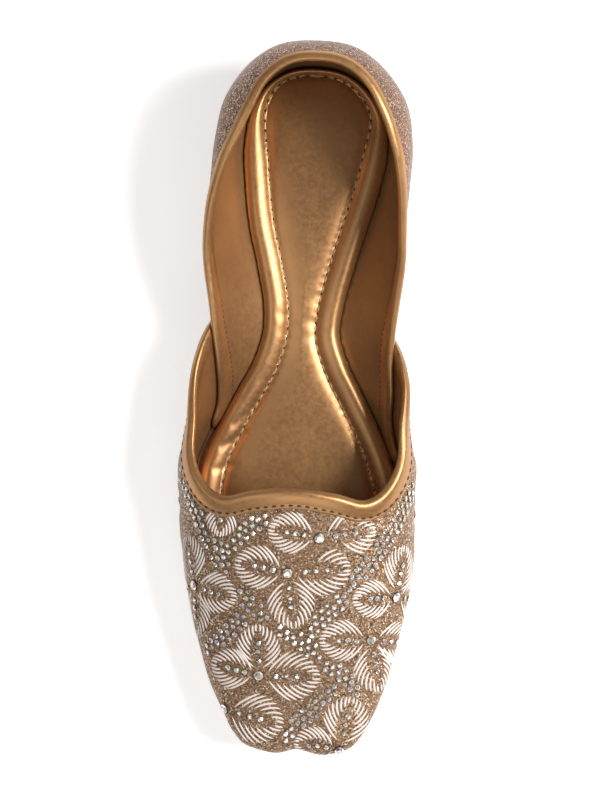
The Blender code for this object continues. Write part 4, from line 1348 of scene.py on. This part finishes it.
def petal_strokes(base, tip):
    """Flat paths of the petals' thread strokes: two combs beside an open lens.

    In a petal's own terms, where its length is 1, stroke u (0 at the shoulder, 1 at the
    tip) starts on the lens, which swells like a sine, and ends on the petal's outline,
    which falls from the shoulder to the tip like a cosine. Each is a quadratic curve
    whose middle is bowed outwards by a share of its length.
    """
    share = np.linspace(0.0, 1.0, STROKES)
    start = np.column_stack([0.15 + 0.68 * share ** 0.9,
                             0.035 + 0.10 * np.sin(pi * (0.10 + 0.90 * share))])
    end = np.column_stack([0.52 + 0.46 * np.sin(pi / 2 * share),
                           0.03 + 0.385 * np.cos(pi / 2 * share) ** 1.25])
    run = end - start
    bow = (0.13 + 0.06 * np.sin(pi * share))[:, None]
    middle = 0.5 * (start + end) + bow * np.column_stack([-run[:, 1], run[:, 0]])
    along = np.linspace(0.0, 1.0, STROKE_POINTS)[None, :, None]
    comb = ((1 - along) ** 2 * start[:, None] + 2 * along * (1 - along) * middle[:, None]
            + along ** 2 * end[:, None])
    local = np.concatenate([comb, comb * [1.0, -1.0]])
    axis = unit(tip - base)
    length = np.linalg.norm(tip - base, axis=1)[:, None, None]
    across = np.column_stack([-axis[:, 1], axis[:, 0]])
    paths = (base[:, None, None]
             + length[..., None] * (local[None, ..., :1] * axis[:, None, None]
                                    + local[None, ..., 1:] * across[:, None, None]))
    stones = base[:, None] + length * PETAL_STONES[None, :, None] * axis[:, None]
    return paths.reshape(-1, STROKE_POINTS, 2), stones.reshape(-1, 2)


def laid_threads(paths, normals, width, height, sides=6):
    """Raised threads: an oval section carried along each path, drawn in at both ends.

    The section's radius is multiplied by a power of a sine of the share of the path,
    which is full for most of it and closes at the ends. The pattern coordinates are
    millimetres along the thread and turns round it.
    """
    heading = unit(np.gradient(paths, axis=1))
    across = unit(np.cross(heading, normals))
    taper = np.sin(pi * np.linspace(0.0, 1.0, paths.shape[1])) ** 0.35
    taper[[0, -1]] = 0.0
    angle = np.linspace(0.0, 2 * pi, sides + 1)
    wide = 0.5 * width * taper[None, :, None] * np.cos(angle)[None, None]
    high = 0.5 * height * taper[None, :, None] * np.sin(angle)[None, None]
    points = (paths[:, :, None] + across[:, :, None] * wide[..., None]
              + normals[:, :, None] * high[..., None])
    run = np.linalg.norm(np.diff(paths, axis=1), axis=2)
    run = np.concatenate([np.zeros((len(paths), 1)), np.cumsum(run, axis=1)], axis=1) / MM
    uv = np.stack(np.broadcast_arrays(run[:, :, None], angle[None, None] / (2 * pi)), axis=-1)
    return patch(points, uv)


def stitches_on(line, normals, pitch, cover, rise, phase):
    """Paths of stitches at even steps along a line: each rises out and dips back in.

    The line is read at even lengths of its run, and each stitch is lifted by a half
    sine of its own length.
    """
    run = np.concatenate([[0.0], np.cumsum(np.linalg.norm(np.diff(line, axis=0), axis=1))])
    places = np.arange(phase * pitch, run[-1], pitch)
    share = np.linspace(0.0, 1.0, 6)
    arcs = places[:, None] + (share - 0.5)[None] * pitch * cover
    points = np.stack([np.interp(arcs, run, line[:, axis]) for axis in range(3)], axis=-1)
    facing = unit(np.stack([np.interp(arcs, run, normals[:, axis]) for axis in range(3)], axis=-1))
    return points + facing * (rise * np.sin(pi * share))[None, :, None], facing


def band_rows():
    """Places of the bands' stones: three rows a band, the middle one half a pitch on."""
    rows = []
    for first, last in zip(*charted(STONE_BANDS)):
        run = last - first
        length = np.linalg.norm(run)
        across = np.array([-run[1], run[0]]) / length
        for offset, phase in ((-ROW_OFFSET, 0.0), (0.0, 0.5), (ROW_OFFSET, 0.0)):
            places = (np.arange(0.0, length / STONE_PITCH - phase) + phase) * STONE_PITCH
            rows.append(first + run / length * places[:, None] + across * offset)
    return rows


# Tints of the stones' facets: pale colours of the iridescent coat, and dark browns painted as
# reflections of a darker surrounding. The flat table on top takes one of the first PALE_TINTS.
STONE_TINTS_AND_REFLECTIONS = ["#fffaf0", "#f0e4c8", "#cdd8bc", "#e6c2cc", "#ecd48c", "#a9c8a4", "#d9a5c0",
               "#b3a2d4", "#a4c6c8", "#6d5a4c", "#4b3d35", "#33291f", "#8a7666", "#c9b69a"]
PALE_TINTS = 5
# A stone's section from under its setting to its table: radius and height, as shares of
# the stone's radius
STONE_PROFILE = np.array([(0.0, -0.10), (1.16, -0.10), (1.18, 0.22), (1.00, 0.30), (0.54, 0.62),
                          (0.0, 0.62)])


def cut_stones(centres, normals, diameters, rng):
    """Round stones in their settings: rings of eight points carried up a profile.

    The profile runs from under the setting, over its lip and the stone's girdle, to the
    flat table. The table's ring is turned by half a facet, and each point of a ring takes
    a tint by chance, some of them dark browns that are painted reflections.
    """
    helper = np.where(np.abs(normals[:, 2:3]) < 0.9, [[0.0, 0.0, 1.0]], [[0.0, 1.0, 0.0]])
    first = unit(np.cross(normals, helper))
    second = np.cross(normals, first)
    angle = np.arange(8) * pi / 4
    turn = rng.uniform(0, pi / 4, len(centres))[:, None, None] + angle[None, :, None]
    turn = turn + np.array([0, 0, 0, 0, pi / 8, 0])[None, None]
    radius = 0.5 * diameters[:, None, None]
    wide, high = radius * STONE_PROFILE[:, 0], radius * STONE_PROFILE[:, 1]
    points = (centres[:, None, None] + first[:, None, None] * (wide * np.cos(turn))[..., None]
              + second[:, None, None] * (wide * np.sin(turn))[..., None]
              + normals[:, None, None] * (high * np.ones_like(turn))[..., None])
    tints = np.array([linear(code) for code in STONE_TINTS_AND_REFLECTIONS])
    chosen = tints[rng.integers(0, len(tints), turn.shape)]
    chosen[:, :, -1] = tints[rng.integers(0, PALE_TINTS, len(centres))][:, None]
    return [patch(points[:, :, :4], slot=1, closed=True),
            patch(points[:, :, 3:], closed=True, tint=chosen[:, :, 3:])]


# The pitch in millimetres of the twist's ridges, and the shade of a thread's darker places
THREAD_TWIST = 1.013
THREAD_SHADE = 0.72


def thread_finish(name, colour, roughness):
    """Twisted thread: satin, with slanted ridges at the twist's pitch.

    The pattern's own coordinates run in millimetres along the thread and in turns round
    it. A diagonal wave repeats every 2 pi / 10 of them at scale 1.
    """
    material, tree, shader, coords = new_finish(name, roughness, 0.0, sheen_weight=0.25)
    ridges = 2 * pi / (10 * THREAD_TWIST)
    twist = add_node(tree, "ShaderNodeTexWave", {"Scale": ridges, "Distortion": 0.4},
                     {"Vector": coords.outputs["UV"]}, wave_type="BANDS", bands_direction="DIAGONAL")
    tone = add_node(tree, "ShaderNodeTexNoise", {"Scale": 1 / (2.2 * MM), "Detail": 2.0},
                    {"Vector": coords.outputs["Object"]})
    shade = tuple(THREAD_SHADE * part for part in colour)
    tree.links.new(colour_blend(tree, tone.outputs["Fac"], shade, colour), shader.inputs["Base Color"])
    bump = add_node(tree, "ShaderNodeBump", {"Strength": 0.35, "Distance": 0.10 * MM},
                    {"Height": twist.outputs["Fac"]})
    tree.links.new(bump.outputs[0], shader.inputs["Normal"])
    return material


def crystal_finish(name):
    """Foil-backed cut glass with an iridescent coat: mirror-bright facets in pale tints, and some in
    dark browns painted as reflections of a darker surrounding.
    """
    material, tree, shader, _ = new_finish(name, 0.08, 0.55, coat_weight=1.0, coat_roughness=0.03)
    tint = add_node(tree, "ShaderNodeAttribute", attribute_name="tint")
    tree.links.new(tint.outputs["Color"], shader.inputs["Base Color"])
    return material


def setting_finish(name):
    """Dark bronze of the stones' little cups, scuffed to a dull shine: the cups are settings, and their
    dark colour is painted shade that rings each stone.
    """
    material, tree, shader, coords = new_finish(name, 0.35, 0.85)
    scuff = add_node(tree, "ShaderNodeTexNoise", {"Scale": 1 / (0.4 * MM)},
                     {"Vector": coords.outputs["Object"]})
    tree.links.new(colour_blend(tree, scuff.outputs["Fac"], linear("#3a2c22"), linear("#7c6450")),
                   shader.inputs["Base Color"])
    return material


def charted(rows):
    """The two ends of each row of a chart on the flat cloth, in metres."""
    chart = np.array(rows) * MM
    return chart[:, :2], chart[:, 2:]


def charted_petals():
    """The foot and the tip of every petal of the flowers, in metres."""
    return charted([(row.side, row.along, *tip) for row in FLOWERS for tip in row.tips])


def sewn_strokes(cloth):
    """The flat paths of the strokes that are sewn, and the petals' stones.

    A stroke is sewn where the whole of it lies on the cloth, its middle is clear of the
    binding, and its end keeps off the other petals and the bands.
    """
    base, tip = charted_petals()
    paths, stones = petal_strokes(base, tip)
    points, _, miss = vamp_face(cloth, paths)
    fits = (miss.max(axis=1) < 0.3 * MM) & (edge_gap(cloth, paths)[:, 3] > shoe_sizes().binding_band)
    fits &= points[..., 2].min(axis=1) > sole_top(points[:, 0, 1]) + MM
    own = np.repeat(np.arange(len(base)), 2 * STROKES)
    near = line_gap(paths[:, -2], base, tip)
    fits &= near[np.arange(len(own)), own] < near.min(axis=1) + PETAL_SLACK
    fits &= line_gap(paths[:, -2], *charted(STONE_BANDS)).min(axis=1) > BAND_ROOM
    return paths[fits], stones


class MOJARI_OT_embroidery(bpy.types.Operator):
    """Embroider the vamp with petals of raised thread"""

    bl_idname = "mojari.embroidery"
    bl_label = "Embroidery"

    def execute(self, context):
        cloth = vamp_cloth()
        paths, _ = sewn_strokes(cloth)
        if not len(paths):
            raise RuntimeError("no stroke of the embroidery lies on the vamp")
        points, normals, _ = vamp_face(cloth, paths)
        threads = laid_threads(points + 0.10 * MM * normals, normals,
                               shoe_sizes().thread_width, 0.50 * MM)
        silk = kept("ivory_silk_thread",
                    lambda name: thread_finish(name, tuple(shoe_colours().silk), 0.42))
        make_piece("vamp_embroidery", [threads], [silk], [], sharp=80.0)
        return {"FINISHED"}


class MOJARI_OT_stones(bpy.types.Operator):
    """Set the stones in the flowers and along the bands between them"""

    bl_idname = "mojari.stones"
    bl_label = "Stones"

    def execute(self, context):
        sizes = shoe_sizes()
        rng = np.random.default_rng(7)
        cloth = vamp_cloth()
        strokes, petal_stones = sewn_strokes(cloth)
        flowers = np.unique(charted_petals()[0], axis=0)
        small = np.vstack([petal_stones, *band_rows()])
        small = small + rng.normal(0.0, STONE_DRIFT, small.shape)
        # A stone gives way to any listed before it, to a flower's middle and to a stroke
        spread = np.abs(small[:, None] - small[None]).max(axis=2) + np.tri(len(small)) * 1.0
        small = small[spread.min(axis=0) > STONE_ROOM]
        small = small[nearest(small, flowers)[1] > FLOWER_ROOM]
        small = small[nearest(small, strokes.reshape(-1, 2))[1] > STROKE_ROOM]
        flat = np.vstack([flowers, small])
        diameters = np.concatenate([np.full(len(flowers), sizes.large_stone),
                                    sizes.small_stone * rng.uniform(0.85, 1.1, len(small))])
        points, normals, miss = vamp_face(cloth, flat)
        on_cloth = (miss < 0.2 * MM) & (edge_gap(cloth, flat) > sizes.binding_band + MM)
        on_cloth &= points[:, 2] > sole_top(points[:, 1]) + 1.5 * MM
        if not on_cloth.any():
            raise RuntimeError("no stone lies on the vamp")
        parts = cut_stones(points[on_cloth], normals[on_cloth], diameters[on_cloth], rng)
        glass = kept("foiled_cut_glass", crystal_finish)
        # The cups' dark colour is painted shade round each stone
        cups = kept("blackened_bronze_cups", setting_finish)
        make_piece("vamp_stones", parts, [glass, cups], [], sharp=8.0, tinted=True)
        return {"FINISHED"}


# A seam's stitches: the share of the pitch that each covers, its rise, width and height,
# and where the first one stands, in pitches
Seam = namedtuple("Seam", "cover rise width height phase")
SEAMS = {
    "vamp_binding_stitches": Seam(0.60, 0.06 * MM, 0.80 * MM, 0.45 * MM, 0.5),
    "lining_stitches": Seam(0.62, 0.10 * MM, 0.62 * MM, 0.42 * MM, 0.5),
    "sock_stitches": Seam(0.62, 0.30 * MM, 0.60 * MM, 0.45 * MM, 0.5),
    # Not thread: dark dabs of painted shade in the sock's needle holes, between its stitches
    "sock_needle_hole_shade": Seam(0.40, 0.0, 1.10 * MM, 0.70 * MM, 1.0),
}


def sew(name, line, normals, pitch, finish):
    """Makes one seam's stitches along a line."""
    seam = SEAMS[name]
    paths, facing = stitches_on(line, normals, pitch, seam.cover, seam.rise, seam.phase)
    threads = laid_threads(paths, facing, seam.width, seam.height)
    make_piece(name, [threads], [finish], [], sharp=80.0)


class MOJARI_OT_stitches(bpy.types.Operator):
    """Sew the bindings, the sock and the lining with raised stitches"""

    bl_idname = "mojari.stitches"
    bl_label = "Stitches"

    def execute(self, context):
        sizes, colours = shoe_sizes(), shoe_colours()
        dark = kept("waxed_brown_thread",
                    lambda name: thread_finish(name, tuple(colours.seam_thread), 0.55))
        bronze = kept("bronze_sewing_thread", lambda name: thread_finish(name, linear("#c9a072"), 0.5))
        line, normals = vamp_edge().line(sizes.binding_band - BINDING_SEAM_INSET,
                                         WALL + sizes.leather - 0.10 * MM)
        sew("vamp_binding_stitches", line, normals, sizes.binding_pitch, dark)
        line, normals = quarter_edge().line(LINING_SEAM_DEPTH, -0.06 * MM)
        sew("lining_stitches", line, -normals, sizes.lining_pitch, dark)
        sock = Sock()
        seam = sock.seam()[::3]
        line = np.column_stack([seam, sock.height(seam)])
        up = np.broadcast_to([0.0, 0.0, 1.0], line.shape)
        sew("sock_stitches", line, up, sizes.sock_pitch, bronze)
        # Painted shade: dark thread dabs in the needle holes between the sock's stitches
        sew("sock_needle_hole_shade", line, up, sizes.sock_pitch, dark)
        return {"FINISHED"}


def aimed(source, target, roll):
    """A place and a turn: the local -Z looks at the target, rolled about it."""
    look = (Vector(target) - Vector(source)).normalized()
    up = Matrix.Rotation(roll, 3, "Z") @ Vector((0.0, 1.0, 0.0))
    right = look.cross(up).normalized()
    turn = Matrix((right, right.cross(look), -look)).transposed()
    return Matrix.Translation(source) @ turn.to_4x4()


WHITE = (*linear("#ffffff"), 1.0)
FLOOR_REACH = 12.0
# The floor lies just under the heel, so that the two faces don't share a plane
FLOOR_DROP = 0.05 * MM
SHOE_MIDDLE = (0.0, 0.0, 0.02)
# The camera stands a metre over the shoe, a little to its inner side, as in the photograph
CAMERA_PLACE = (0.0604, 0.0017, 1.0)
CAMERA_ROLL = radians(2.0)
CAMERA_ANGLE = radians(16.3)
Softbox = namedtuple("Softbox", "name place size power")
SOFTBOXES = [
    Softbox("key_softbox", (0.90, 0.10, 1.00), 0.50, 21.0),
    Softbox("fill_softbox", (-0.75, -0.3, 1.1), 0.9, 3.0),
    Softbox("toe_softbox", (0.1, -0.95, 0.9), 0.7, 3.0),
]


class MOJARI_OT_stage(bpy.types.Operator):
    """Set the pale floor, the soft studio lights and the camera"""

    bl_idname = "mojari.stage"
    bl_label = "Stage"

    def execute(self, context):
        scene = context.scene
        mesh = bpy.data.meshes.new("studio_floor")
        corners = [(-1, -1), (1, -1), (1, 1), (-1, 1)]
        mesh.from_pydata([(FLOOR_REACH * x, FLOOR_REACH * y, -FLOOR_DROP) for x, y in corners],
                         [], [(0, 1, 2, 3)])
        # Matt white paper that glows a little, so that the ground of the picture stays white
        paper, _, _, _ = new_finish("matt_white_paper", 0.9, 0.0, base_color=(*linear("#f6f5f3"), 1.0),
                                    emission_color=WHITE, emission_strength=0.50)
        mesh.materials.append(paper)
        floor = bpy.data.objects.new("studio_floor", mesh)
        scene.collection.objects.link(floor)
        world = bpy.data.worlds.new("studio_air")
        world.use_nodes = True
        world.node_tree.nodes["Background"].inputs["Color"].default_value = WHITE
        world.node_tree.nodes["Background"].inputs["Strength"].default_value = 0.19
        scene.world = world
        scene.view_settings.view_transform = "Standard"
        for softbox in SOFTBOXES:
            light = bpy.data.lights.new(softbox.name, "AREA")
            light.size = softbox.size
            light.energy = softbox.power
            lamp = bpy.data.objects.new(softbox.name, light)
            lamp.matrix_world = aimed(softbox.place, SHOE_MIDDLE, 0.0)
            scene.collection.objects.link(lamp)
        lens = bpy.data.cameras.new("photo_camera")
        lens.type = "PERSP"
        lens.sensor_fit = "VERTICAL"
        lens.angle = CAMERA_ANGLE
        lens.clip_start = 0.05
        camera = bpy.data.objects.new("photo_camera", lens)
        camera.matrix_world = aimed(CAMERA_PLACE, SHOE_MIDDLE, CAMERA_ROLL)
        scene.collection.objects.link(camera)
        scene.camera = camera
        return {"FINISHED"}


class MOJARI_PT_panel(bpy.types.Panel):
    """Lists the pieces that the shoe is made of"""

    bl_idname = "MOJARI_PT_panel"
    bl_label = "Mojari"
    bl_space_type = "VIEW_3D"
    bl_region_type = "UI"
    bl_category = "Mojari"

    def draw(self, context):
        for operator in OPERATORS:
            self.layout.operator(operator.bl_idname)
        for group in (shoe_sizes(), shoe_colours()):
            for name in group.__annotations__:
                self.layout.prop(group, name)


OPERATORS = [MOJARI_OT_stage, MOJARI_OT_outsole, MOJARI_OT_insole, MOJARI_OT_quarter, MOJARI_OT_vamp,
             MOJARI_OT_bindings, MOJARI_OT_embroidery, MOJARI_OT_stones, MOJARI_OT_stitches]
CLASSES = [MojariSizes, MojariColours, *OPERATORS, MOJARI_PT_panel]


def register():
    """Registers the classes and hangs the shoe's sizes and colours on the scene."""
    for item in CLASSES:
        bpy.utils.register_class(item)
    bpy.types.Scene.mojari_sizes = PointerProperty(type=MojariSizes)
    bpy.types.Scene.mojari_colours = PointerProperty(type=MojariColours)


def unregister():
    """Takes the shoe's sizes, colours and classes away again."""
    del bpy.types.Scene.mojari_colours
    del bpy.types.Scene.mojari_sizes
    for item in reversed(CLASSES):
        bpy.utils.unregister_class(item)


def main():
    """Makes every piece in order."""
    register()
    bpy.ops.mojari.stage()
    bpy.ops.mojari.outsole()
    bpy.ops.mojari.insole()
    bpy.ops.mojari.quarter()
    bpy.ops.mojari.vamp()
    bpy.ops.mojari.bindings()
    bpy.ops.mojari.embroidery()
    bpy.ops.mojari.stones()
    bpy.ops.mojari.stitches()


if __name__ == "__main__":
    main()
